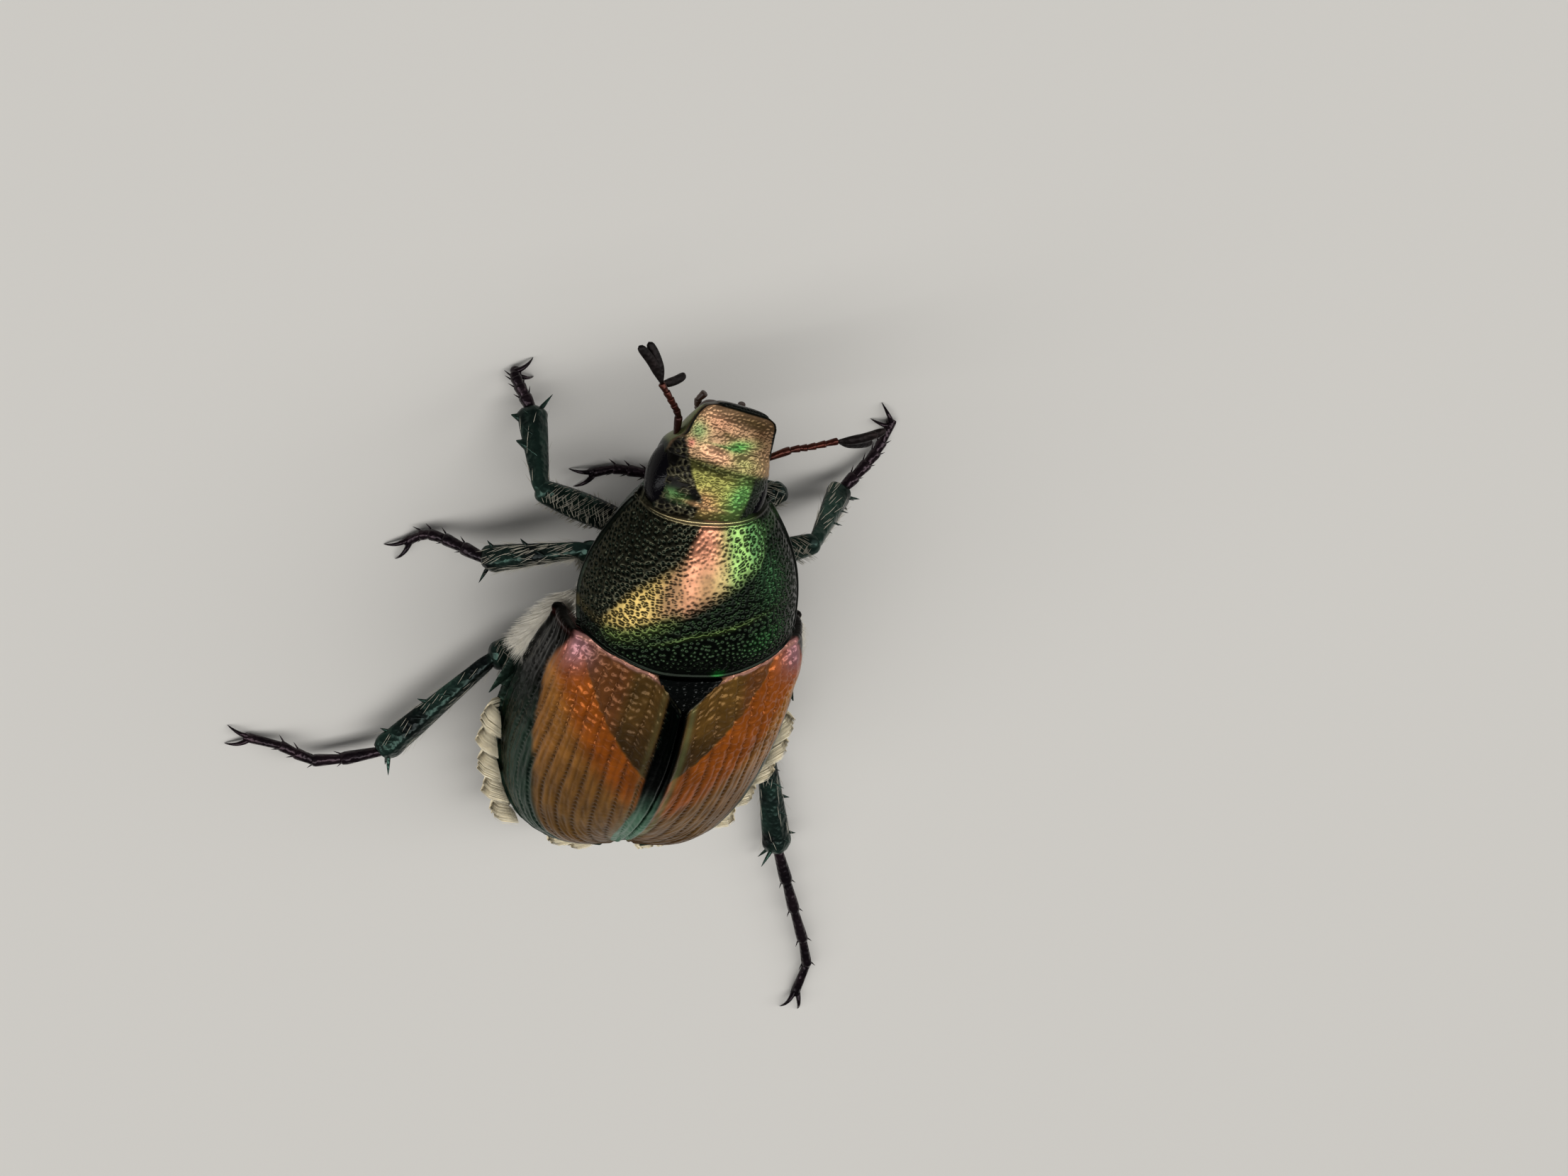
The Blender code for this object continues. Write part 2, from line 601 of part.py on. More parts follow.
def tibia_start(hip, knee, ankle):
    """Where the shin begins, clear of the thigh's end by the seam."""
    back, ahead = unit(hip - knee), unit(ankle - knee)
    fold = max(0.0, back.dot(ahead))
    away = unit(ahead - fold * back)
    return knee + away * (KNEE_RADIUS + GAP + 0.24 * fold)


def make_leg(name, leg):
    root, hip = to_row(leg["root"]), to_row(leg["hip"])
    knee, ankle = np.array(leg["knee"]), np.array(leg["ankle"])
    coxa_path = [root + (hip - root) * t for t in (0.0, 0.15, 0.5, 0.85, 1.0)]
    coxa = swept("coxa_" + name, coxa_path, [0.2, 0.3, 0.34, 0.3, 0.2], [0.2, 0.28, 0.32, 0.28, 0.2], 8)
    paint(coxa, *GREEN_BLACK)

    thigh = unit(knee - hip)
    start = hip + thigh * (0.1 + GAP + 0.15 * abs(thigh[2]))
    end = knee + thigh * 0.1
    radius = spline(FEMUR_STATIONS, FEMUR_SHAPE, np.linspace(0, 1, 7))
    path = [start + (end - start) * t for t in np.linspace(0, 1, 7)]
    paint(swept("femur_" + name, path, radius, radius * 0.85, 8, leg_up(start, knee)), *GREEN)

    shin_start = tibia_start(hip, knee, ankle)
    shin = unit(ankle - shin_start)
    up = leg_up(shin_start, ankle)
    across = np.cross(shin, up)
    radius = spline(TIBIA_STATIONS, TIBIA_SHAPE, np.linspace(0, 1, 7))
    path = [shin_start + (ankle - shin_start) * t for t in np.linspace(0, 1, 7)]
    pieces = [swept("tibia_" + name, path, radius, radius * 0.9, 8, up)]
    length = np.linalg.norm(ankle - shin_start)
    outer = across if across.dot(ankle - root) > 0 else -across
    for place, reach in ((0.5, 0.42), (0.82, 0.46)):
        base = shin_start + shin * length * place
        pieces.append(cone(base, base + outer * reach + shin * 0.22, SPINE_RADIUS * 1.4))
    away = -across if across.dot(np.array(leg["toes"][0]) - ankle) > 0 else across
    for lift in (-0.6, 0.4):
        spur = unit(away + up * lift)
        tip = ankle + shin * 0.24 + spur * 0.52
        tip[2] = max(tip[2], 0.06)
        pieces.append(cone(ankle - shin * 0.2 + spur * 0.16, tip, SPINE_RADIUS * 1.2))
    paint(fuse("tibia_" + name, pieces), *GREEN)

    make_tarsus("tarsus_" + name, ankle, np.array(leg["toes"]), leg.get("claw"))


def below_floor():
    """A block under the floor's level, used to flatten whatever would reach below it."""
    x, y = np.meshgrid([-20.0, 20.0], [-20.0, 20.0])
    top = np.stack([x, y, np.zeros((2, 2))], -1)
    return slab("floor", top, top - np.array([0.0, 0.0, 5.0]))


def make_tarsus(name, ankle, toes, claw):
    """Five beaded foot joints ending in two curved claws that rest on the floor."""
    first = ankle + unit(toes[0] - ankle) * (GAP + 0.08)
    knots = np.concatenate([[first], toes])
    steps = np.linspace(0, len(knots) - 1, 2 * JOINTS_A_FOOT + 1)
    path = spline(np.arange(len(knots)), knots, steps)
    radius = np.array([0.19 if i % 2 == 0 else 0.235 for i in range(len(path))])
    radius[-1] = 0.14
    radius = np.minimum(radius, np.maximum(path[:, 2] + 0.05, 0.1))
    pieces = [swept(name, path, radius, radius, 6)]
    ahead = unit(path[-1] - path[-2])
    across = unit(np.cross(ahead, (0, 0, 1)))
    heading = unit(ahead * np.array([1, 1, 0]) if claw is None else claw)
    spread = np.cross(heading, (0, 0, 1))
    for lean in (-1, 1):
        base = path[-1] - ahead * 0.1 + spread * lean * 0.03
        tip = path[-1] + heading * CLAW_LENGTH + spread * lean * 0.24
        tip[2] = 0.01
        pieces.append(cone(base, tip, 0.12, 5, (0, 0, 0.05)))
    for i in range(1, JOINTS_A_FOOT):
        base = path[2 * i]
        tip = base + unit(path[2 * i] - path[2 * i - 1]) * 0.12 + across * 0.36
        tip[2] = max(tip[2] - 0.05, 0.05)
        pieces.append(cone(base, tip, SPINE_RADIUS))
    foot = fuse(name, pieces)
    cut_away(foot, below_floor())
    paint(foot, *GREEN_BLACK)


def main():
    for thing in list(bpy.data.objects):
        bpy.data.objects.remove(thing)
    make_pronotum()
    make_prothorax()
    make_elytra()
    make_scutellum()
    make_thorax()
    make_abdomen()
    make_pygidium()
    make_head()
    make_mouthparts()
    make_feelers()
    for name, leg in LEGS.items():
        make_leg(name, leg)


main()
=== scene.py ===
import bpy
import numpy as np
from mathutils import Matrix, Vector


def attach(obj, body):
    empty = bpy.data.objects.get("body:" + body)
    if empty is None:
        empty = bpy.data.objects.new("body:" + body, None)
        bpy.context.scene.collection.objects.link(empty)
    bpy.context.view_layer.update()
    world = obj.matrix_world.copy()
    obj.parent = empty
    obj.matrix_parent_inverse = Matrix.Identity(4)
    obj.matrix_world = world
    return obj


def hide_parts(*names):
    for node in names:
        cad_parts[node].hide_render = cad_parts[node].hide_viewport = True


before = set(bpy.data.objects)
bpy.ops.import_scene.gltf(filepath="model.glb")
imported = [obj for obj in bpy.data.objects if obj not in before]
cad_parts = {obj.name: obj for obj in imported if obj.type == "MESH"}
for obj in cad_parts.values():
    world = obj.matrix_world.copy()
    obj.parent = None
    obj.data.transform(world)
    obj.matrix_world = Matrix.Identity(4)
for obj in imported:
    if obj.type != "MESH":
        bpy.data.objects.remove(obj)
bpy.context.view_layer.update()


# Trunk: the hard underside of the thorax and belly, thin dark cuticle with a green metal gloss.
# The belly plates overlap toward the tail like tiles, and fine pits cover them all.
MM = 0.001
PITCH = np.radians(12.0)
BODY_AT = np.array([-1.7, -3.02, 0.0])
SIDES = {"left": np.array([1, 1, 1]), "right": np.array([-1, 1, 1])}
TAIL_BEND = 0.0048
BREAST_Y = (-0.45, 2.1)
BELLY_Y = (1.95, 6.16)
TRUNK_Y = [-0.4, 0.4, 1.2, 2.1, 3.0, 4.2, 5.2, 5.8, 6.25]
TRUNK_WIDE = [2.2, 2.7, 2.95, 3.1, 3.16, 3.08, 2.72, 2.32, 1.4]
TRUNK_SIDE_Z = [3.1, 2.95, 2.65, 2.42, 2.3, 2.3, 2.35, 2.3, 2.1]
TRUNK_BELLY_Z = [2.15, 1.66, 1.4, 1.68, 1.6, 1.6, 1.68, 1.78, 1.85]
TRUNK_NECK = [1.85, 2.05, 2.15, 2.28, 2.35, 2.2, 1.6, 1.1, 0.6]
TRUNK_TOP_Z = [4.4, 4.5, 4.5, 4.5, 4.35, 3.95, 3.05, 2.5, 2.05]
BELLY_PLATE = 0.72
PLATE_STEP = 0.07
SIDE_PLATE_FROM = np.array([2.66, 1.2, 2.5])
SIDE_PLATE_RUN = np.array([0.8, 1.6, -0.05])
SIDE_PLATE_ACROSS = np.array([-0.85, 0.53, 0.0])
SIDE_PLATE_WIDE = 0.24
SIDE_PLATE_DEEP = 0.05


def place(points):
    """Body points: x moved by the bend times y squared behind the shield, then turned by the pitch."""
    x, y, z = np.moveaxis(np.asarray(points, float), -1, 0)
    x = x + TAIL_BEND * np.maximum(y, 0.0)**2
    turned_y = y * np.cos(PITCH) + z * np.sin(PITCH)
    turned_z = z * np.cos(PITCH) - y * np.sin(PITCH)
    return np.stack([x, turned_y, turned_z], -1)


def unit(vectors):
    """The vectors, each divided by its own length."""
    vectors = np.asarray(vectors, float)
    return vectors / np.linalg.norm(vectors, axis=-1, keepdims=True)


def spline(stations, values, at):
    """Smooth curve through values at rising stations: cubic pieces, slopes taken from neighbours."""
    stations = np.asarray(stations, float)
    values = np.asarray(values, float)
    at = np.clip(np.asarray(at, float), stations[0], stations[-1])
    slopes = np.gradient(values, stations, axis=0)
    i = np.clip(np.searchsorted(stations, at) - 1, 0, len(stations) - 2)
    step = stations[i + 1] - stations[i]
    t = (at - stations[i]) / step
    extra = (1,) * (values.ndim - 1)
    t, step = t.reshape(t.shape + extra), step.reshape(step.shape + extra)
    low = values[i] * (2 * t**3 - 3 * t**2 + 1) + slopes[i] * step * (t**3 - 2 * t**2 + t)
    high = values[i + 1] * (3 * t**2 - 2 * t**3) + slopes[i + 1] * step * (t**3 - t**2)
    return low + high


def closed_curve(points, count):
    """Ring of count points through a few along the first axis: the spline, wrapped round."""
    wrapped = np.concatenate([points[-2:], points, points[:3]])
    return spline(np.arange(len(wrapped)), wrapped, 2 + np.arange(count) / count * len(points))


def smooth(low, high, value):
    """Zero at low and one at high, whichever is larger, with an even S between them, level beyond."""
    t = np.clip((value - low) / (high - low), 0.0, 1.0)
    return t * t * (3 - 2 * t)


def linear(code):
    """A hex colour in linear light: the sRGB curve undone channel by channel."""
    parts = np.array([int(code[i:i + 2], 16) for i in (1, 3, 5)]) / 255
    return np.where(parts <= 0.04045, parts / 12.92, ((parts + 0.055) / 1.055)**2.4)


def add(tree, kind, inputs=(), stops=(), **settings):
    """Adds one node: settings are its properties, inputs its sockets' values or links to them."""
    made = tree.nodes.new("ShaderNode" + kind)
    for key, value in settings.items():
        setattr(made, key, value)
    for key, value in dict(inputs).items():
        if isinstance(value, bpy.types.NodeSocket):
            tree.links.new(value, made.inputs[key])
        else:
            made.inputs[key].default_value = value
    if stops:
        ramp = made.color_ramp.elements
        while len(ramp) < len(stops):
            ramp.new(0.5)
        for element, (position, code) in zip(ramp, stops):
            element.position = position
            element.color = (*linear(code), 1.0)
    return made


def finish(name, roughness, metallic=0.0, specular=0.5, code=None):
    """A new material: its Principled shader's constants, with a plain colour where it has one."""
    material = bpy.data.materials.new(name)
    material.use_nodes = True
    shader = material.node_tree.nodes["Principled BSDF"]
    shader.inputs["Roughness"].default_value = roughness
    shader.inputs["Metallic"].default_value = metallic
    shader.inputs["Specular IOR Level"].default_value = specular
    if code:
        shader.inputs["Base Color"].default_value = (*linear(code), 1.0)
    return material, material.node_tree, shader


def in_millimetres(tree):
    """Object coordinates in millimetres, so a pattern's scale is its count in a millimetre."""
    where = add(tree, "TexCoord").outputs["Object"]
    return add(tree, "Mapping", {"Vector": where, "Scale": (1 / MM, 1 / MM, 1 / MM)}).outputs[0]


def outward(rings, tint):
    """The rings, each run the other way round if the solid that they close has a negative volume."""
    a, d = rings[:-1], rings[1:]
    b, c = np.roll(a, -1, 1), np.roll(d, -1, 1)
    volume = np.sum(a * np.cross(b, c)) + np.sum(a * np.cross(c, d))
    for end in (rings[0][::-1], rings[-1]):
        volume += np.sum(end[0] * np.cross(end[1:-1], end[2:]))
    if volume > 0:
        return rings, tint
    return rings[:, ::-1], None if tint is None else tint[:, ::-1]


def put(name, data):
    """A new object of that data in the scene."""
    thing = bpy.data.objects.new(name, data)
    bpy.context.scene.collection.objects.link(thing)
    return thing


def settle(name, mesh, material, nodes=()):
    """The mesh's object, at the origin, riding the one body in place of those nodes."""
    mesh.materials.append(material)
    thing = put(name, mesh)
    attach(thing, "root")
    if nodes:
        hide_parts(*nodes)


def make_piece(name, shells, material, nodes, tints=None):
    """One object from closed shells: quads between each shell's rings and one face at each end."""
    points, faces, colours = [], [], []
    start = 0
    for number, shell in enumerate(shells):
        rings, tint = outward(np.asarray(shell, float), None if tints is None else tints[number])
        count, around = rings.shape[:2]
        i, j = np.meshgrid(np.arange(count - 1), np.arange(around), indexing="ij")
        k = (j + 1) % around
        quads = np.stack([i * around + j, i * around + k, (i + 1) * around + k, (i + 1) * around + j], -1)
        faces += (quads.reshape(-1, 4) + start).tolist()
        faces.append((np.arange(around)[::-1] + start).tolist())
        faces.append((np.arange(around) + (count - 1) * around + start).tolist())
        points.append(rings.reshape(-1, 3))
        colours.append(None if tint is None else tint.reshape(-1, tint.shape[-1]))
        start += count * around
    mesh = bpy.data.meshes.new(name)
    mesh.from_pydata(((np.concatenate(points) + BODY_AT) * MM).tolist(), [], faces)
    mesh.shade_smooth()
    mesh.set_sharp_from_angle(angle=np.radians(60))
    if tints is not None:
        layer = mesh.color_attributes.new("Tint", "FLOAT_COLOR", "POINT")
        colours = np.concatenate(colours)
        if colours.shape[1] == 3:
            colours = np.column_stack([colours, np.ones(len(colours))])
        layer.data.foreach_set("color", colours.ravel())
    settle(name, mesh, material, nodes)


def trunk_rings(stations, around):
    """Sections of the trunk: nine points down one half, mirrored, and a closed curve through all."""
    y = np.asarray(stations)
    wide, side, belly, neck, top = (spline(TRUNK_Y, v, y) for v in
                                    (TRUNK_WIDE, TRUNK_SIDE_Z, TRUNK_BELLY_Z, TRUNK_NECK, TRUNK_TOP_Z))
    down = [(0 * wide, top), (0.5 * neck, top - 0.1 * (top - side)), (0.86 * neck, top - 0.4 * (top - side)),
            (neck, side + 0.2), (0.97 * wide, side + 0.1), (wide, side - 0.12),
            (0.8 * wide, side + 0.35 * (belly - side)), (0.45 * wide, belly + 0.06), (0 * wide, belly)]
    half = [np.stack([x, y, z], -1) for x, z in down]
    other = [point * SIDES["right"] for point in half[-2:0:-1]]
    ring = closed_curve(np.stack(half + other), around)
    return np.moveaxis(ring, 0, 1)


def dark_cuticle(name, dark, light, roughness):
    """Dark beetle cuticle, clouded between two colours: a tinted metal gloss, pits 0.11 mm apart."""
    material, tree, shader = finish(name, roughness, 0.75)
    where = in_millimetres(tree)
    cloud = add(tree, "TexNoise", {"Vector": where, "Scale": 1.3, "Detail": 4.0}).outputs[0]
    ramp = add(tree, "ValToRGB", {0: cloud}, stops=((0.35, dark), (0.7, light)))
    tree.links.new(ramp.outputs[0], shader.inputs["Base Color"])
    pits = add(tree, "TexVoronoi", {"Vector": where, "Scale": 9.0}).outputs["Distance"]
    bump = add(tree, "Bump", {"Height": pits, "Strength": 0.6, "Distance": 0.03 * MM})
    tree.links.new(bump.outputs[0], shader.inputs["Normal"])
    return material


# Hard cuticle of the belly: green-black, with a satin metal gloss that the pits break up.
belly_cuticle = dark_cuticle("belly cuticle, pitted", "#0D1A14", "#24382C", 0.34)

breast = place(trunk_rings(np.linspace(*BREAST_Y, 40), 96))
t = np.linspace(0, 1, 24)[:, None]
turn = np.arange(20) / 20 * 2 * np.pi
taper = 1 - t**1.6
side_plate = (SIDE_PLATE_FROM + SIDE_PLATE_RUN * t)[:, None]
across = np.cos(turn)[:, None] * SIDE_PLATE_ACROSS
side_plate = side_plate + across * (SIDE_PLATE_WIDE * taper + 0.012)[..., None]
side_plate[..., 2] += np.sin(turn) * (SIDE_PLATE_DEEP * taper + 0.012)
side_plates = [place(side_plate * mirror) for mirror in SIDES.values()]
make_piece("breast", [breast] + side_plates, belly_cuticle, ["thorax"])

belly_y = np.linspace(*BELLY_Y, 150)
belly = trunk_rings(belly_y, 128)
plate = ((belly_y - BELLY_Y[0]) / BELLY_PLATE) % 1.0
swell = PLATE_STEP * (plate**2 - 0.5) * smooth(BELLY_Y[0], 2.2, belly_y)
away = unit(belly - belly.mean(1, keepdims=True))
belly = belly + away * swell[:, None, None]
make_piece("belly", [place(belly)], belly_cuticle, ["abdomen"])


# Collar: the underside of the first body segment, one stiff ring of the belly's dark cuticle. The
# shield closes it above, and the fore legs hang from it.
PRO_Y = [-3.45, -3.0, -2.4, -1.8, -1.1, -0.4, 0.15]
PRO_HALF_WIDTH = [1.3, 1.62, 2.0, 2.27, 2.42, 2.38, 2.3]
PRO_EDGE_Z = [3.42, 3.4, 3.5, 3.62, 3.8, 4.15, 4.3]
PRO_MID_Z = [4.2, 4.45, 4.82, 5.1, 5.33, 5.42, 5.36]
COLLAR_LOW_Y = [-3.18, -2.2, -0.3]
COLLAR_LOW_Z = [2.35, 1.8, 1.75]


def shaped(value, power):
    """The value's size raised to a power, with its sign kept."""
    return np.sign(value) * np.abs(value)**power


def first_segment(y):
    """Half width, edge height and middle height of the first body segment: smooth curves of y."""
    return [spline(PRO_Y, values, y) for values in (PRO_HALF_WIDTH, PRO_EDGE_Z, PRO_MID_Z)]


collar_y = np.linspace(COLLAR_LOW_Y[0], COLLAR_LOW_Y[-1], 60)[:, None]
half, edge, middle = first_segment(collar_y)
half, edge, top = 0.84 * half, edge - 0.25, middle - 0.4
low = spline(COLLAR_LOW_Y, COLLAR_LOW_Z, collar_y)
turn = np.arange(80) / 80 * 2 * np.pi
rise = np.sin(turn)
height = edge + np.where(rise > 0, top - edge, edge - low) * rise
collar = np.stack(np.broadcast_arrays(half * shaped(np.cos(turn), 1.1), collar_y, height), -1)
make_piece("collar", [place(collar)], belly_cuticle, ["prothorax"])


# Shield: the domed plate behind the head. Thick, very glossy green cuticle, closely pitted, with a
# raised bead round its edge. Its gloss, copper in front over gold to green at the sides, is painted
# reflection.
SHIELD_DEPTH = 0.35
SHIELD_FRONT_Y = -3.2
SHIELD_CORNER = 0.08
SHIELD_BACK_S = [0.0, 0.3, 0.62, 0.85, 1.0]
SHIELD_BACK_Y = [0.16, 0.14, -0.04, -0.22, -0.36]
PIT_SPACING = 0.105
PIT_RADIUS = 0.029
PIT_DEPTH = 0.027
BEAD_HEIGHT = 0.035
GROOVE_DEPTH = 0.02
FOLD_HEIGHT = 0.035
FOLD_S = [-0.6, -0.42, -0.12, 0.16, 0.43, 0.6]
FOLD_V = [0.6, 0.61, 0.65, 0.7, 0.79, 0.84]
LIP_STEPS = 5
LIP_REACH = 0.06
# The band of painted reflection across the dome: its front and back edges in v, against s.
BAND_S = [-0.8, -0.6, -0.42, -0.22, 0.04, 0.16, 0.27, 0.49, 0.7, 0.78, 0.86]
BAND_FRONT = [0.1, 0.0, -0.1, -0.1, -0.05, 0.1, 0.23, 0.39, 0.58, 0.72, 0.84]
BAND_BACK = [0.1, 0.24, 0.3, 0.37, 0.47, 0.51, 0.55, 0.66, 0.77, 0.79, 0.8]


def shield_front(s):
    """Front margin: nearly straight, with the corners drawn a little forward."""
    return SHIELD_FRONT_Y - SHIELD_CORNER * np.abs(s)**5


def shield_back(s):
    """Base: straight before the small triangle, then slanting forward to the hind corners."""
    return spline(SHIELD_BACK_S, SHIELD_BACK_Y, np.abs(s))


def shield_point(s, v, inset):
    """Dome over s from side to side and v from front to back, sunk inward by inset: the edge's height
    plus the rise to the middle times a power of one less a power of s."""
    y = shield_front(s) + (shield_back(s) - shield_front(s)) * v
    half, edge, middle = first_segment(y)
    dome = (1 - np.minimum(np.abs(s), 1.0)**2.2)**0.62
    x = half * s * (1 - 0.25 * inset * s * s)
    z = edge - 0.6 * inset + (middle - edge - 0.4 * inset) * dome
    return np.stack([x, y, z], -1)


def normals(grid, axis=2):
    """Unit normals of a grid: its two directions' cross product, up the axis at the grid's middle."""
    normal = unit(np.cross(np.gradient(grid, axis=1), np.gradient(grid, axis=0)))
    return normal * np.sign(normal[len(grid) // 2, grid.shape[1] // 2, axis])


def measured(grid):
    """Length along each row from its middle, and down each column from its start."""
    across = np.linalg.norm(np.diff(grid, axis=1), axis=-1)
    across = np.concatenate([np.zeros((len(grid), 1)), np.cumsum(across, 1)], 1)
    down = np.linalg.norm(np.diff(grid, axis=0), axis=-1)
    down = np.concatenate([np.zeros((1, grid.shape[1])), np.cumsum(down, 0)], 0)
    return across - across[:, [grid.shape[1] // 2]], down


def cells(a, b, spacing, seed):
    """Distances to the nearest and the second of a jittered square lattice of points."""
    draw = np.random.default_rng(seed)
    size = 160
    shift = draw.uniform(-0.46, 0.46, (size, size, 2))
    cell_a, cell_b = np.floor(a / spacing).astype(int), np.floor(b / spacing).astype(int)
    nearest, second = np.full(a.shape, 9.0), np.full(a.shape, 9.0)
    for i in (-1, 0, 1):
        for j in (-1, 0, 1):
            moved = shift[(cell_a + i) % size, (cell_b + j) % size]
            away_a = (cell_a + i + 0.5 + moved[..., 0]) * spacing - a
            away_b = (cell_b + j + 0.5 + moved[..., 1]) * spacing - b
            away = np.hypot(away_a, away_b)
            second = np.minimum(second, np.maximum(nearest, away))
            nearest = np.minimum(nearest, away)
    return nearest, second


def pits(a, b, spacing, radius, seed):
    """Depth from 0 to 1 of round pits: a bell curve of the distance to the nearest lattice point."""
    return np.exp(-(cells(a, b, spacing, seed)[0] / radius)**2)


def net(a, b, spacing, width, seed):
    """Height from 0 to 1 of fine ridges that run half way between neighbouring lattice points."""
    nearest, second = cells(a, b, spacing, seed)
    return np.exp(-((second - nearest) / width)**2)


def bell(value, centre, width):
    """One at the centre, falling off as a bell curve of that half width."""
    return np.exp(-((value - centre) / width)**2)


def mix(base, tone, mask):
    """The base colours moved toward a hex colour, or toward a grid of colours, by the mask."""
    tone = linear(tone) if isinstance(tone, str) else tone
    return base + (tone - base) * np.clip(mask, 0, 1)[..., None]


def layered(code, shape, layers):
    """A grid of one colour, with each layer's colour laid over it in turn by its mask."""
    tones = np.broadcast_to(linear(code), shape + (3,))
    for tone, mask in layers:
        tones = mix(tones, tone, mask)
    return tones


def rolled(top, sunk, under):
    """A shell of its top and its underside, both ends turned a quarter round toward the sunk top."""
    ends = []
    for turned in np.linspace(0, np.pi / 2, LIP_STEPS + 1)[1:]:
        for end, reach in ((0, -LIP_REACH), (-1, LIP_REACH)):
            edge = top[end] + (sunk[end] - top[end]) * (1 - np.cos(turned)) * 0.9
            edge[:, 1] += reach * np.sin(turned)
            ends.append(np.concatenate([edge, under[end]]))
    return np.concatenate([np.array(ends[0::2])[::-1], np.concatenate([top, under], 1), np.array(ends[1::2])])


def over_ends(tones):
    """The colours of a rolled shell: those of its first and last row carried over the lips."""
    return np.concatenate([tones[:1]] * LIP_STEPS + [tones] + [tones[-1:]] * LIP_STEPS)


s, v = np.meshgrid(np.sin(np.linspace(-np.pi / 2, np.pi / 2, 301)), np.linspace(0, 1, 191))
top = shield_point(s, v, 0.0)
across, down = measured(top)
to_side = across.max(1, keepdims=True) - np.abs(across)
to_end = np.minimum(down, down[-1:] - down)
band_front = spline(BAND_S, BAND_FRONT, s)
band_back = spline(BAND_S, BAND_BACK, s)
band = smooth(-0.07, 0.07, v - band_front) * smooth(0.08, -0.06, v - band_back)
copper = band * bell(s, 0.02, 0.36)
bead_round = bell(to_side, 0.06, 0.05) + 0.7 * bell(to_end, 0.05, 0.035)
groove = bell(to_side, 0.16, 0.05) + 0.7 * bell(to_end, 0.12, 0.035)
dots = pits(across, down, PIT_SPACING, PIT_RADIUS, 3) * smooth(0.12, 0.22, to_side) * smooth(0.1, 0.2, to_end)
pitted = PIT_DEPTH * (1.35 - 0.35 * band) * dots * (1 - 0.88 * copper)
fold = bell(v, spline(FOLD_S, FOLD_V, s), 0.018) * bell(s, -0.1, 0.45)
lift = BEAD_HEIGHT * bead_round - GROOVE_DEPTH * groove - pitted + FOLD_HEIGHT * fold
top = top + normals(top) * lift[..., None]

under_s, under_v = np.meshgrid(np.sin(np.linspace(np.pi / 2, -np.pi / 2, 15)[1:-1]), v[:, 0])
under = shield_point(under_s, under_v, SHIELD_DEPTH)
shield = rolled(top, shield_point(s, v, SHIELD_DEPTH), under)

# Painted glints: a pale net on the ridges between the pits.
ridge_glints = net(across, down, PIT_SPACING, 0.03, 3) * (1 - dots) * smooth(0.1, 0.2, to_side)
plain = 1 - 0.75 * smooth(0.78, 0.95, v) * bell(s, 0.05, 0.45)
# The shield's colours: dark green-black, with painted light laid over it. The band is painted reflection,
# copper in the middle, gold on the left and green on the right; each line below says what else is painted.
copper_reflection_tones = layered("#CC8A6C", s.shape, [
    ("#70553A", smooth(0.1, 0.34, v) * smooth(0.3, 0.0, s)),
    ("#7E7048", smooth(0.0, -0.2, s)),
    ("#4E3A28", 0.6 * bell(s, 0.2, 0.12) * smooth(0.3, 0.45, v))])
shade = layered("#0B110A", s.shape, [
    # Painted reflection: green patches on the right flank of the dome.
    ("#1E4A22", 0.7 * bell(s, -0.63, 0.16) * bell(v, 0.79, 0.08)),
    ("#2C5230", 0.6 * bell(s, -0.7, 0.14) * bell(v, 0.4, 0.2)),
    # Painted glints on the ridges between the pits, on the left, before the band.
    ("#6A6650", 0.3 * ridge_glints * smooth(-0.2, 0.1, s) * smooth(0.02, -0.04, v - band_front)),
    # Painted glints: lighter green pits behind the band, fewer at the middle of the rear.
    ("#3C5A34", 0.36 * dots * plain * smooth(0.04, 0.1, v - band_back) * smooth(1.0, 0.7, np.abs(s))),
    # Painted reflection: a small bright green spot near the rear margin, right of the middle.
    ("#1F7A30", 0.8 * bell(s, -0.24, 0.05) * bell(v, 0.955, 0.02)),
    # Painted reflection: the band's gold, tan, copper and green.
    ("#8B7642", band * smooth(0.25, 0.5, s)),
    ("#6E5238", band * bell(s, 0.26, 0.16)),
    (copper_reflection_tones, band * smooth(0.28, 0.12, s) * smooth(-0.42, -0.14, s)),
    ("#6C8A4C", band * smooth(-0.16, -0.36, s) * smooth(-0.8, -0.55, s)),
    ("#44683A", band * smooth(-0.42, -0.55, s)),
    # Painted reflection: an olive fringe behind the band, left of the middle.
    ("#4A5A2C", 0.7 * bell(v, band_back + 0.05, 0.05) * smooth(0.1, 0.4, s) * smooth(0.86, 0.76, s)),
    # Painted reflection: an olive line along the shallow cross fold.
    ("#44562A", 0.84 * fold),
    # Painted highlight: a pale gold line along the front bead.
    ("#CDB886", bell(down, 0.06, 0.05) * bell(s, 0.1, 0.45)),
    # Painted shade: dark pits in and before the band, lighter where it is copper.
    ("#0C1A10", 0.75 * (1 - 0.5 * copper) * dots * smooth(0.1, 0.04, v - band_back))])
shade = np.concatenate([shade, np.broadcast_to(linear("#0E1912"), under.shape)], 1)


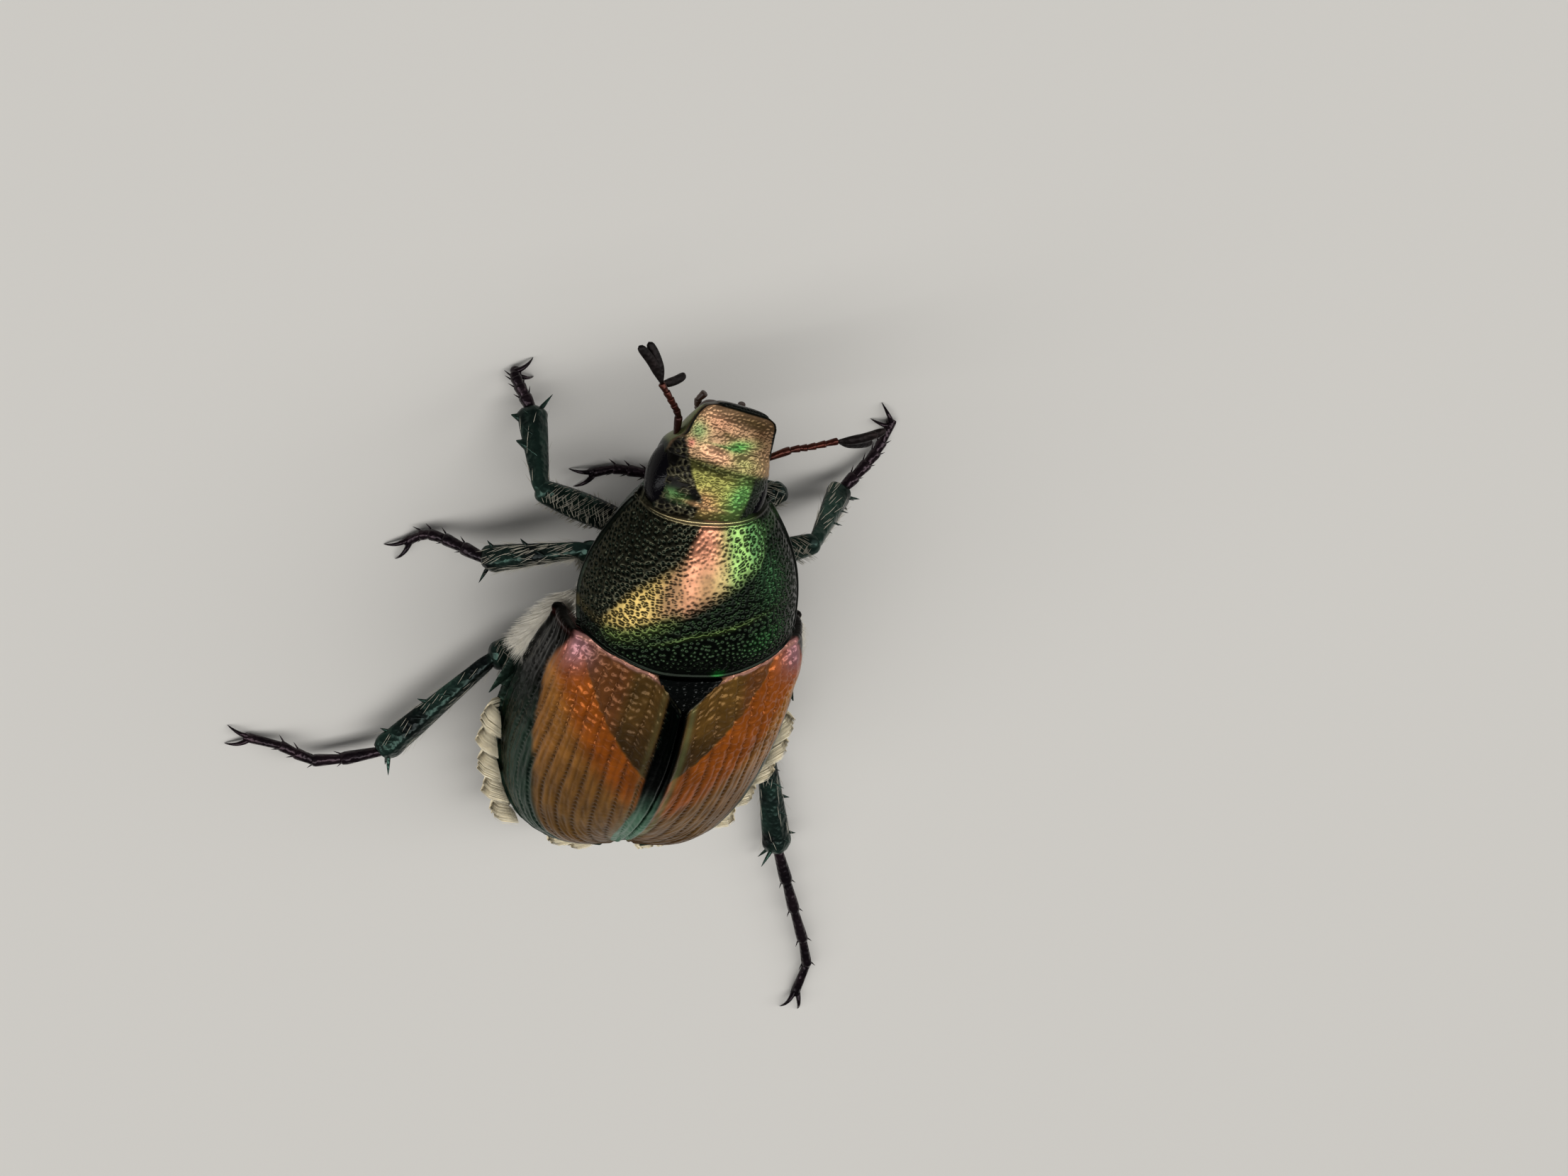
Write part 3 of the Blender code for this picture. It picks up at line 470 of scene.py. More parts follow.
def tinted_cuticle(name, roughness, metallic, scale, grain, specular=0.5):
    """Cuticle whose colour is the piece's Tint, painted light included, darkened in a fine cloud, with a
    faint grain.
    """
    material, tree, shader = finish(name, roughness, metallic, specular)
    where = in_millimetres(tree)
    tint = add(tree, "Attribute", attribute_name="Tint").outputs["Color"]
    cloud = add(tree, "TexNoise", {"Vector": where, "Scale": scale, "Detail": 5.0}).outputs[0]
    dim = add(tree, "MapRange", {0: cloud, 1: 0.35, 2: 0.7, 3: 0.7, 4: 1.15}).outputs[0]
    shaded = add(tree, "Mix", {0: 1.0, 6: tint, 7: dim}, data_type="RGBA", blend_type="MULTIPLY")
    tree.links.new(shaded.outputs[2], shader.inputs["Base Color"])
    fine = add(tree, "TexNoise", {"Vector": where, "Scale": 4 * scale, "Detail": 3.0}).outputs[0]
    bump = add(tree, "Bump", {"Height": fine, "Strength": 0.5, "Distance": grain * MM})
    tree.links.new(bump.outputs[0], shader.inputs["Normal"])
    return material


# Polished cuticle of the shield: nearly a mirror of coloured metal, dulled only by its pits.
shield_cuticle = tinted_cuticle("shield cuticle, polished and pitted", 0.24, 0.9, 4.0, 0.004)
make_piece("shield", [place(shield)], shield_cuticle, ["pronotum"], [over_ends(shade)])


# Small triangle: the plate behind the shield that fills the gap between the bases of the wing cases.
# It is thick green-black cuticle, sparsely pitted, and fixed to the trunk.
TRIANGLE_HALF = 0.66
TRIANGLE_FROM = 0.2
TRIANGLE_LONG = 0.86
TRIANGLE_Z = 5.42
TRIANGLE_DEPTH = 0.3
v, s = np.meshgrid(np.linspace(0, 1, 60), np.linspace(-1, 1, 61), indexing="ij")
half = TRIANGLE_HALF * (1 - v**1.3)**0.75 + 0.03
height = TRIANGLE_Z - 0.09 * s**4 - 0.07 * v
triangle = np.stack([half * s, TRIANGLE_FROM + TRIANGLE_LONG * v, height], -1)
dents = pits(triangle[..., 0], triangle[..., 1], 0.16, 0.035, 8)
triangle[..., 2] -= 0.025 * dents * smooth(1.0, 0.75, np.abs(s))
below = triangle[:, ::-6] - np.array([0, 0, TRIANGLE_DEPTH])
# Polished black cuticle: dark, with small sharp highlights.
black_cuticle = dark_cuticle("small triangle cuticle", "#020403", "#060D0A", 0.2)
make_piece("small_triangle", [place(np.concatenate([triangle, below], 1))], black_cuticle,
           ["scutellum"])


# Wing cases: two thin, stiff shells of glossy orange-brown cuticle that meet along the back. Rows of
# pits run from base to tip, and the outer edge and the seam are dark green.
CASE_DEPTH = 0.22
MARGIN_V = [0.0, 0.16, 0.33, 0.48, 0.62, 0.75, 0.87, 0.95, 1.0]
MARGIN = [(2.72, -0.06, 3.56), (2.93, 0.93, 3.05), (3.05, 2.0, 2.7), (3.09, 3.05, 2.49),
          (3.01, 4.1, 2.45), (2.73, 5.08, 2.66), (2.12, 5.82, 3.02), (1.3, 6.12, 3.3),
          (0.5, 6.1, 3.48)]
SEAM_Y = [1.12, 2.0, 3.0, 4.0, 5.0, 5.84]
SEAM_Z = [5.37, 5.38, 5.23, 4.9, 4.35, 3.7]
SEAM_HALF = 0.012
BASE_OUT = [0.0, 0.12, 0.22, 0.3, 0.45, 0.62, 0.8, 1.0]
BASE_Y = [1.12, 0.72, 0.36, 0.16, 0.02, -0.12, -0.27, -0.24]
ROWS = 11
ROW_DEPTH = 0.034
ROW_WIDTH = 0.06
ROW_PIT_SPACING = 0.14
LOOSE_PIT_DEPTH = 0.022
WRINKLE_DEPTH = 0.035
ROUGH_DEPTH = 0.024
STREAK_DEPTH = 0.013
MARGIN_RISE = 0.04
SEAM_RISE = 0.022
SEAM_DROP = 0.05
BASE_RISE = 0.025
EDGE_V = [0.0, 0.08, 0.17, 0.25, 0.39, 0.55, 0.7, 1.0]
EDGE_U = [0.7, 0.78, 0.8, 0.76, 0.71, 0.63, 0.6, 0.6]
# Painted reflection: an olive wedge at the base by the seam and a bright orange stripe beside it. Each side
# lists the wedge's reach across and down, the stripe's end and the olive colour.
REFLECTION_WEDGE = {"left": (0.655, 0.487, 1.3, "#4E3917"), "right": (0.5, 0.44, 1.65, "#64481C")}
SEAM_V = [0.0, 0.45, 0.66, 0.85, 1.0]
SEAM_U = {"left": [0.085, 0.085, 0.075, 0.12, 0.19], "right": [0.02, 0.02, 0.025, 0.04, 0.05]}
# How strong the painted highlight beside the seam is on each case.
SEAM_HIGHLIGHT = {"left": 0.2, "right": 0.6}


def case_point(u, v):
    """Left wing case: u from seam to margin as a quarter turn, v from base to tip. The way out is the
    turn's sine and the height a power of its cosine, with bells for the shoulder and the hind knob."""
    edge = spline(MARGIN_V, MARGIN, v)
    seam_y = SEAM_Y[0] + (SEAM_Y[-1] - SEAM_Y[0]) * v
    seam_z = spline(SEAM_Y, SEAM_Z, seam_y)
    out = np.sin(u * np.pi / 2)
    x = SEAM_HALF + (edge[..., 0] - SEAM_HALF) * out
    fullness = 0.75 + 0.38 * np.clip((v - 0.3) / 0.5, 0, 1)
    z = edge[..., 2] + (seam_z - edge[..., 2]) * np.abs(np.cos(u * np.pi / 2))**fullness
    straight = seam_y + (edge[..., 1] - seam_y) * out
    base = spline(BASE_OUT, BASE_Y, out)
    y = straight + (base - (1.12 - 1.14 * out)) * np.clip(1 - v / 0.45, 0, 1)**2
    shoulder = 0.14 * bell(u, 0.7, 0.13) * bell(v, 0.09, 0.09)
    knob = 0.08 * bell(u, 0.45, 0.12) * bell(v, 0.88, 0.07)
    tucked = 0.2 * smooth(0.55, 0.8, out) * np.clip(1 - v / 0.07, 0, 1)**2
    return np.stack([x + 0.5 * shoulder, y, z + shoulder + knob - tucked], -1)


u, v = np.meshgrid(np.linspace(0, 1, 251), np.linspace(0, 1, 211))
case = case_point(u, v)
normal = normals(case)
across, down = measured(case)
to_margin = across[:, -1:] - across
to_seam = across - across[:, :1]
row = u * ROWS + 0.1 * np.sin(1.5 * down + 6.0 * u)
in_rows = (np.round(row) > 0) & (np.round(row) < ROWS)
off_row = np.abs(row - np.round(row))
row_step = (across[:, -1:] - across[:, :1]) / ROWS
groove = bell(off_row * row_step, 0.0, ROW_WIDTH) * in_rows
groove += 0.45 * bell((0.5 - off_row) * row_step, 0.0, 0.04)
beads = np.cos(down / ROW_PIT_SPACING * 2 * np.pi + 2.4 * np.round(row))
holes = bell(off_row * row_step, 0.0, 0.035) * smooth(0.1, 0.9, beads) * in_rows
loose = pits(across, down, 0.15, 0.04, 12) * bell(u, 0.14, 0.09) * smooth(0.65, 0.1, v)
sideband = smooth(-0.02, 0.03, u - spline(EDGE_V, EDGE_U, v))
bubbled = smooth(0.55, 0.2, v) * smooth(0.75, 0.6, u) * smooth(0.06, 0.12, u)
wrinkle = bubbled * (1 - net(across * 0.6, down, 0.21, 0.07, 21))
rough = pits(across, down * 0.7, 0.19, 0.075, 22) * sideband * smooth(0.6, 0.3, v) * smooth(0.08, 0.2, v)
streak = pits(across, down * 0.16, 0.1, 0.045, 23)
blotch = pits(across, down * 0.3, 0.34, 0.15, 24)
ribbed = smooth(0.0, 0.06, v) * (1 - 0.55 * smooth(0.4, 0.75, v)) * (1 - 0.4 * smooth(0.55, 0.8, u))
lift = -ROW_DEPTH * (0.8 * groove + 0.9 * holes) * ribbed - LOOSE_PIT_DEPTH * loose
lift -= WRINKLE_DEPTH * wrinkle + ROUGH_DEPTH * rough + STREAK_DEPTH * streak
lift += MARGIN_RISE * bell(to_margin, 0.07, 0.06) - 0.03 * bell(to_margin, 0.2, 0.06)
beside_seam = SEAM_RISE * bell(to_seam, 0.1, 0.05) - SEAM_DROP * bell(to_seam, 0.0, 0.03)
lift += beside_seam - 0.015 * bell(to_seam, 0.2, 0.05)
lift += BASE_RISE * bell(down, 0.05, 0.04) - 0.015 * bell(down, 0.13, 0.04)
outer = case + normal * lift[..., None]
columns = np.round(np.linspace(1, 0, 13) * (case.shape[1] - 1)).astype(int)
inner = case[:, columns] - CASE_DEPTH * normal[:, columns]
shell = rolled(outer, outer - CASE_DEPTH * normal, inner)


def case_tones(side):
    """Orange-brown, with painted reflection: duller behind, an olive wedge at the base and orange beside it;
    dark rim and seam.
    """
    wedge_u, wedge_v, orange_end, olive = REFLECTION_WEDGE[side]
    wedge = u / wedge_u + v / wedge_v
    inside = smooth(1.01, 0.97, wedge)
    off_seam = u - spline(SEAM_V, SEAM_U[side], v)
    seam = smooth(0.012, -0.008, off_seam)
    tones = layered("#A86E2E", u.shape, [
        # Painted reflection: the rear half duller and greyer.
        ("#785524", smooth(0.25, 0.8, v)),
        # Painted reflection: the orange stripe, then the olive wedge, darker behind and redder at its outer
        # part.
        ("#A25312", smooth(0.95, 1.02, wedge) * smooth(orange_end + 0.25, orange_end - 0.05, wedge)),
        (olive, 0.95 * inside),
        ("#30230F", 0.8 * inside * smooth(0.12, 0.3, v)),
        ("#70401E", 0.8 * inside * smooth(0.26, 0.34, u)),
        # Painted shade: darker in the grooves and their pits, more toward the tip.
        ("#2A1D10", 0.6 * groove * smooth(0.1, 0.5, v) + 0.3 * holes),
        ("#4E341A", 0.4 * streak * smooth(0.1, 0.6, v)),
        ("#5A3A1C", 0.25 * blotch * smooth(0.05, 0.2, v)),
        # Painted reflection: a lilac-pink sheen on the shoulder.
        ("#A07074", bell(u, 0.66, 0.11) * bell(v, 0.03, 0.07)),
        # Painted highlight: a pink line along the front edge of the base.
        ("#C08A7A", bell(down, 0.05, 0.05) * smooth(0.12, 0.2, u) * smooth(0.7, 0.62, u)),
        # The dark outer band: the case's real green edge, widened and darkened by painted dark reflection on
        # its steep side.
        (layered("#0C0C09", u.shape, [("#263C30", smooth(0.2, 0.55, v))]), sideband),
        # Painted highlight: a pale olive line beside the seam.
        ("#6A7048", SEAM_HIGHLIGHT[side] * bell(off_seam, 0.025, 0.015)),
        (layered("#060B08", u.shape, [("#507C64", smooth(0.45, 0.75, v))]), seam),
        ("#14140E", smooth(0.012, 0.0, v) * smooth(0.12, 0.08, u)),
        ("#260A08", bell(down, 0.1, 0.06) * smooth(0.68, 0.72, u))])
    metal = 0.4 + 0.6 * np.maximum(sideband, seam) * smooth(1.3, 0.6, v)
    tones = np.concatenate([tones, metal[..., None]], -1)
    return over_ends(np.concatenate([tones, tones[:, columns]], 1))


# Glossy cuticle of the wing cases: brown, with soft highlights drawn out along the rows. The Tint's
# alpha is how metallic the gloss is: fully on the dark rim and seam, less on the brown.
case_cuticle = tinted_cuticle("wing case cuticle, glossy", 0.31, 0.4, 2.0, 0.014, 0.2)
nodes = case_cuticle.node_tree.nodes
case_cuticle.node_tree.links.new(nodes["Attribute"].outputs["Alpha"],
                                 nodes["Principled BSDF"].inputs["Metallic"])
for side, mirror in SIDES.items():
    make_piece("wing_case_" + side, [place(shell * mirror)], case_cuticle, ["elytron_" + side],
               [case_tones(side)])


# End plate: the last plate of the back, which shows behind the wing cases and slopes down to the tail
# tip. It is stiff green cuticle, finely pitted, on the belly's last ring.
END_HALF = 1.9
END_FROM = (5.8, 3.42)
END_RUN = (0.86, -1.47)
END_BULGE = (0.28, 0.17)
s, v = np.meshgrid(np.linspace(-1, 1, 81), np.linspace(0, 1, 60))
half = END_HALF * (1 - v**1.6)**0.6 + 0.05
back = END_FROM[0] - 0.4 * s**2 * (1 - v) + END_RUN[0] * v + END_BULGE[0] * np.sin(np.pi * v)
height = END_FROM[1] - 0.35 * s**2 * (1 - v) + END_RUN[1] * v + END_BULGE[1] * np.sin(np.pi * v)
end_plate = np.stack([half * s, back, height], -1)
across, down = measured(end_plate)
end_plate = end_plate - normals(end_plate, 1) * 0.02 * pits(across, down, 0.12, 0.035, 31)[..., None]
behind = end_plate[:, ::-8] + np.array([0, -0.28, -0.2])
# Pitted green cuticle: a satin metal gloss, greener than the belly's.
green_cuticle = dark_cuticle("green cuticle, pitted", "#143A26", "#32684A", 0.3)
make_piece("end_plate", [place(np.concatenate([end_plate, behind], 1))], green_cuticle,
           ["pygidium"])


# Head: a flat hood of hard cuticle with an upturned black rim in front, dented and closely pitted. It
# is gold behind, green at the right and copper in front, mostly as painted reflection, and turned a
# little to the beetle's right.
HEAD_AT = np.array([0.1, -3.33, 4.3])
HEAD_YAW = np.radians(15.0)
HEAD_DROP = np.radians(22.0)
HEAD_AHEAD = [-0.6, -0.1, 0.25, 0.7, 1.1, 1.32, 1.5, 1.75, 2.0, 2.17, 2.27, 2.35]
HEAD_HALF = [0.8, 1.06, 1.17, 1.22, 1.22, 1.15, 1.04, 0.99, 0.94, 0.88, 0.79, 0.6]
HEAD_TOP = [-0.6, 0.0, 0.14, 0.2, 0.14, 0.1, 0.07, 0.06, 0.08, 0.11, 0.12, 0.12]
HEAD_LOW = [-1.1, -1.3, -1.5, -1.55, -1.45, -1.3, -1.15, -0.9, -0.55, -0.3, -0.2, -0.12]
HEAD_RIM_RISE = 0.09
HEAD_SIDE_DROP = 0.08
HEAD_FOLD_DEPTH = 0.05
HEAD_PIT_DEPTH = 0.025
HEAD_CREASE_RISE = 0.05
HEAD_SIDE_POWER = 0.72
HEAD_TOP_POWER = 0.8
# Bumps and dents: height, place left and forward, half length, half width, lean.
HEAD_DENTS = [(0.07, 0.24, 1.28, 0.22, 0.12, 0.15), (0.04, 0.44, 1.76, 0.22, 0.14, 0.2),
              (-0.06, -0.08, 1.64, 0.2, 0.13, -0.5), (-0.06, -0.3, 1.44, 0.26, 0.1, -0.4),
              (-0.035, 0.12, 0.42, 0.3, 0.3, 0.0)]
EYE_AT = np.array([1.0, 0.56, -0.58])
EYE_RADII = np.array([0.36, 0.7, 0.46])


def from_head(points):
    """Points of the head's own frame (left, forward, up) in the frame above the floor."""
    level = np.array([-np.sin(HEAD_YAW), -np.cos(HEAD_YAW), 0.0])
    left = np.array([np.cos(HEAD_YAW), -np.sin(HEAD_YAW), 0.0])
    forward = np.cos(HEAD_DROP) * level - np.sin(HEAD_DROP) * np.array([0.0, 0.0, 1.0])
    up = np.cross(left, -forward)
    points = np.asarray(points, float)
    return place(HEAD_AT + points[..., :1] * left + points[..., 1:2] * forward + points[..., 2:] * up)


def blob(a, b, at_a, at_b, long, short, lean):
    """Bell over an ellipse at that place, its long axis leaning from the first direction."""
    along = (a - at_a) * np.cos(lean) + (b - at_b) * np.sin(lean)
    beside = (b - at_b) * np.cos(lean) - (a - at_a) * np.sin(lean)
    return np.exp(-(along / long)**2 - (beside / short)**2)


def even_turns(count, side_power, top_power):
    """Angles whose points (shaped cosine, shaped sine) lie at even steps along their curve."""
    angle = np.linspace(0, 2 * np.pi, 4001)
    aside, up = shaped(np.cos(angle), side_power), shaped(np.sin(angle), top_power)
    length = np.concatenate([[0], np.cumsum(np.hypot(np.diff(aside), np.diff(up)))])
    return np.interp(np.arange(count) / count * length[-1], length, angle)


ahead = np.linspace(HEAD_AHEAD[0], HEAD_AHEAD[-1], 220)[:, None]
half, crown, low = (spline(HEAD_AHEAD, values, ahead) for values in (HEAD_HALF, HEAD_TOP, HEAD_LOW))
turn = even_turns(300, HEAD_SIDE_POWER, HEAD_TOP_POWER)[None, :]
middle = crown - (0.38 - 0.24 * smooth(1.2, 1.6, ahead)) * (crown - low)
reach = np.where(np.sin(turn) > 0, crown - middle, middle - low)
aside = half * shaped(np.cos(turn), HEAD_SIDE_POWER)
height = middle + reach * shaped(np.sin(turn), HEAD_TOP_POWER)
ahead = np.broadcast_to(ahead, aside.shape)
over = smooth(0.04, 0.34, np.sin(turn)) * np.ones_like(aside)
to_side = half - np.abs(aside)
aside = aside + 0.05 * smooth(1.0, 1.6, ahead)
rim = bell(ahead, 2.37, 0.08) + smooth(1.35, 1.6, ahead) * bell(to_side, 0.0, 0.07)
# The left side of the hood is painted shade: black, with raised creases.
black_edge = spline([0.3, 0.57, 0.96, 1.2, 1.43], [0.25, 0.53, 0.75, 0.86, 0.99], ahead)
black = over * smooth(-0.04, 0.06, aside - black_edge) * smooth(1.6, 1.4, ahead)
crease = net(aside, ahead, 0.11, 0.022, 47) * smooth(0.25, 0.8, pits(aside, ahead, 0.24, 0.14, 48))
holes = pits(aside, ahead, 0.085, 0.03, 41) * smooth(0.05, 0.12, to_side)
lines = pits(aside * 0.35, ahead * 1.3, 0.1, 0.04, 43) * smooth(0.08, 0.16, to_side)
lines *= smooth(2.25, 2.1, ahead)
from_swirl = np.hypot(aside + 0.59, ahead - 1.25)
relief = HEAD_RIM_RISE * np.minimum(rim, 1.1) - 0.03 * bell(ahead, 1.95, 0.2)
relief -= HEAD_SIDE_DROP * smooth(1.4, 0.7, ahead) * (np.abs(aside) / half)**2.4
fold_ahead = spline([-0.9, -0.2, 0.35, 0.8], [0.98, 0.91, 1.0, 1.02], aside)
relief -= HEAD_FOLD_DEPTH * bell(ahead, fold_ahead, 0.08)
for lift, *spot in HEAD_DENTS:
    relief += lift * blob(aside, ahead, *spot)
relief += 0.012 * np.cos(from_swirl / 0.1 * 2 * np.pi) * bell(from_swirl, 0.0, 0.3)
relief -= HEAD_PIT_DEPTH * holes * smooth(1.5, 1.1, ahead) * (1 - black)
relief += 0.014 * net(aside, ahead, 0.09, 0.03, 42) * (1 - black)
relief -= 0.009 * lines * smooth(1.2, 1.6, ahead)
height = height + over * relief + HEAD_CREASE_RISE * crease * black
skull = np.stack([aside, ahead, height], -1)
snout = skull[-1]
heart = snout.mean(0)
ends = np.linspace(0, np.pi / 2, 9)[1:-1]
front_rings = [heart + (snout - heart) * np.cos(e)**0.6 + np.array([0, 0.07 * np.sin(e), 0]) for e in ends]
skull = np.concatenate([skull, np.array(front_rings)])


def patch(strength, *spot):
    """Mask of a soft oval on the upper side of the head."""
    return strength * over * blob(aside, ahead, *spot)


flank = smooth(-0.8, -0.35, np.sin(turn)) * smooth(1.15, 1.35, ahead) * smooth(0.3, 0.1, over)
# The head's colours: dark green, with painted light laid over it. Its gold, green, tan and copper patches are
# mostly painted reflection; the lines below mark painted highlights and shade. The dark rim is its own
# colour.
tint = layered("#121A10", aside.shape, [
    ("#94914C", patch(1.4, 0.05, 0.6, 0.75, 0.5, 0.0)),
    ("#5E8F4A", patch(1.2, -0.56, 0.55, 0.3, 0.42, 0.3)),
    ("#BC9060", patch(1.1, 0.2, 0.25, 0.3, 0.22, 0.2)),
    # Painted shade: the right side of the hood by the eye.
    ("#1C241A", over * smooth(-0.68, -0.8, aside) * smooth(1.15, 0.95, ahead)),
    ("#A98664", over * smooth(1.0, 1.2, ahead)),
    ("#9A9C5E", patch(0.8, -0.4, 1.25, 0.4, 0.2, 0.0)),
    ("#7E9A60", patch(0.9, 0.8, 1.68, 0.2, 0.24, 0.0)),
    ("#C28E6C", patch(0.9, 0.4, 1.95, 0.4, 0.18, 0.1)),
    ("#5E4028", patch(0.9, -0.6, 1.9, 0.36, 0.26, 0.9)),
    ("#4C3C20", patch(0.9, -0.3, 2.14, 0.6, 0.16, 0.0)),
    ("#4E3A26", patch(0.85, -0.82, 1.86, 0.22, 0.34, 0.0)),
    ("#5A4E28", patch(0.8, 0.17, 1.74, 0.14, 0.06, 0.1)),
    ("#519848", patch(0.95, -0.2, 1.57, 0.3, 0.14, -0.3)),
    ("#2C7036", 0.8 * over * bell(ahead, 1.48, 0.035) * bell(aside, 0.05, 0.45)),
    # Painted highlight: a pink spot on a bump.
    ("#EEB48C", patch(1.3, 0.27, 1.27, 0.28, 0.12, 0.1)),
    ("#C47464", patch(0.8, 0.87, 1.38, 0.08, 0.1, 0.0)),
    # Painted shade along the cross fold.
    ("#1E2A16", 0.6 * over * bell(ahead, 0.97, 0.09) * smooth(0.75, 0.5, np.abs(aside + 0.05))),
    # Painted shade in a net of fine creases.
    ("#15170C", patch(0.8, 0.32, 1.02, 0.42, 0.16, 0.0) * net(aside, ahead, 0.11, 0.035, 49)),
    # Painted shade over the left side.
    ("#0A0806", black),
    # Painted glints along the creases in the shaded side.
    ("#8A8468", 0.75 * black * crease * smooth(1.25, 0.9, aside)),
    ("#4E7440", patch(1.0, 0.78, 0.2, 0.22, 0.1, 0.2)),
    # Painted highlight: a pale line across the back of the hood.
    ("#B48C62", over * bell(ahead, 0.16, 0.045) * bell(aside, 0.2, 0.4)),
    ("#0E100C", 1.3 * over * smooth(0.3, 0.6, rim)),
    ("#0D1810", smooth(0.25, 0.0, over)),
    ("#6E7448", 0.8 * flank * smooth(2.3, 2.15, ahead))])
tint = np.concatenate([tint, np.repeat(tint[-1:], len(ends), 0)])
# Pitted cuticle of the head: coloured metal, softer in gloss than the shield.
head_cuticle = tinted_cuticle("head cuticle, polished and pitted", 0.35, 0.65, 4.0, 0.012, 0.2)
make_piece("hood", [from_head(skull)], head_cuticle, ["head"], [tint])


# Eyes: black domes of clear cuticle, set in the sides of the head behind the feelers. Each is made up
# of thousands of small lenses.
def ball(centre, radii, across, around):
    """Rings of an oval ball in the head's frame, from its inner to its outer end."""
    tilt = np.linspace(-0.5, 0.5, across + 2)[1:-1, None] * np.pi
    turn = np.arange(around)[None, :] / around * 2 * np.pi
    shape = np.stack([np.sin(tilt) * np.ones_like(turn), np.cos(tilt) * np.cos(turn),
                      np.cos(tilt) * np.sin(turn)], -1)
    return np.asarray(centre) + np.asarray(radii) * shape


# Clear cuticle over black: a smooth gloss with a sharp highlight. The real lenses are 0.02 mm wide,
# drawn 0.036 mm wide here so that they show.
eye_skin, tree, shader = finish("eye lenses", 0.12, 0.0, 0.1, "#060508")
lenses = add(tree, "TexVoronoi", {"Vector": in_millimetres(tree), "Scale": 28.0}).outputs["Distance"]
bump = add(tree, "Bump", {"Height": lenses, "Strength": 0.5, "Distance": 0.008 * MM}, invert=True)
tree.links.new(bump.outputs[0], shader.inputs["Normal"])
for side, mirror in SIDES.items():
    dome = from_head(ball(EYE_AT * mirror, EYE_RADII, 40, 64))
    make_piece("lenses_" + side, [dome], eye_skin, ["eye_" + side])


# Mouth: the brown lip and jaws of thin cuticle under the hood, with a pair of short jointed palps that
# hang below them. Each is its centre and radii, or the places of its joints.
LIP = ((0.0, 1.6, -1.2), (0.55, 0.6, 0.35))
JAW = ((0.3, 2.02, -0.85), (0.3, 0.26, 0.24))
PALP_RADII = (0.05, 0.085)
PALP = np.array([(0.28, 1.9, -1.3), (0.46, 2.02, -1.3), (0.5, 2.16, -1.25), (0.44, 2.34, -1.15)])


def tube(path, wide, deep, up, around, shape=1.0):
    """Rings about a path: wide across it and deep along the up direction, scaled by shape."""
    path = np.asarray(path, float)
    along = unit(np.gradient(path, axis=0))
    across = unit(np.cross(along, np.asarray(up, float)))
    lift = np.cross(across, along)
    turn = np.arange(around) / around * 2 * np.pi
    wide, deep = (np.broadcast_to(np.asarray(r, float), (len(path),))[:, None, None] for r in (wide, deep))
    sideways = wide * across[:, None] * np.cos(turn)[None, :, None]
    upward = deep * lift[:, None] * np.sin(turn)[None, :, None]
    return path[:, None] + (sideways + upward) * np.asarray(shape)[..., None]


def bead(start, end, narrow, broad, around=12):
    """A cup-shaped joint from start to end: narrow at its root, broad before its rounded end."""
    t = np.array([0.0, 0.08, 0.25, 0.5, 0.75, 0.88, 0.96, 1.0])
    fullness = np.array([0.375, 0.5, 0.625, 0.8, 0.975, 1.0, 0.85, 0.45])
    radius = narrow * (1 - fullness) + broad * fullness
    return tube(start + (end - start) * t[:, None], radius, radius, (0, 0, 1), around)


# Thin bare cuticle: brown and half matt, without the metal gloss.
mouth_skin = finish("mouth cuticle, brown", 0.4, code="#3A2417")[0]
mouth = [from_head(ball(*LIP, 16, 28))]
for mirror in SIDES.values():
    mouth.append(from_head(ball(JAW[0] * mirror, JAW[1], 12, 20)))
    joints = from_head(PALP * mirror)
    mouth += [bead(start, end, *PALP_RADII) for start, end in zip(joints[:-1], joints[1:])]
make_piece("mouth", mouth, mouth_skin, ["mouthparts"])


# Feelers: a red-brown stalk of small joints from each side of the head, and a club of three dark
# leaves at its end, spread out like a fan. All are thin cuticle.
STALKS = {"left": [(1.08, 1.42, -0.4), (1.24, 1.8, -0.2), (1.52, 2.06, -0.1), (1.9, 2.38, -0.08)],
          "right": [(-1.02, 1.44, -0.34), (-1.42, 1.78, -0.2), (-1.78, 1.98, -0.05), (-2.3, 2.27, 0.02)]}
LEAF_TIPS = {"left": [(2.74, 3.02, 0.15), (2.5, 3.14, 0.0), (1.3, 2.66, -0.42)],
             "right": [(-3.2, 2.8, 0.2), (-3.25, 2.42, -0.35), (-2.85, 2.72, 0.6)]}
FIRST_JOINT_RADII = (0.05, 0.09)
JOINT_RADII = (0.045, 0.08)
STALK_JOINTS = [0.0, 0.34, 0.5, 0.62, 0.74, 0.86, 1.0]
LEAF_WIDTH = 0.1
LEAF_DEPTH = 0.065

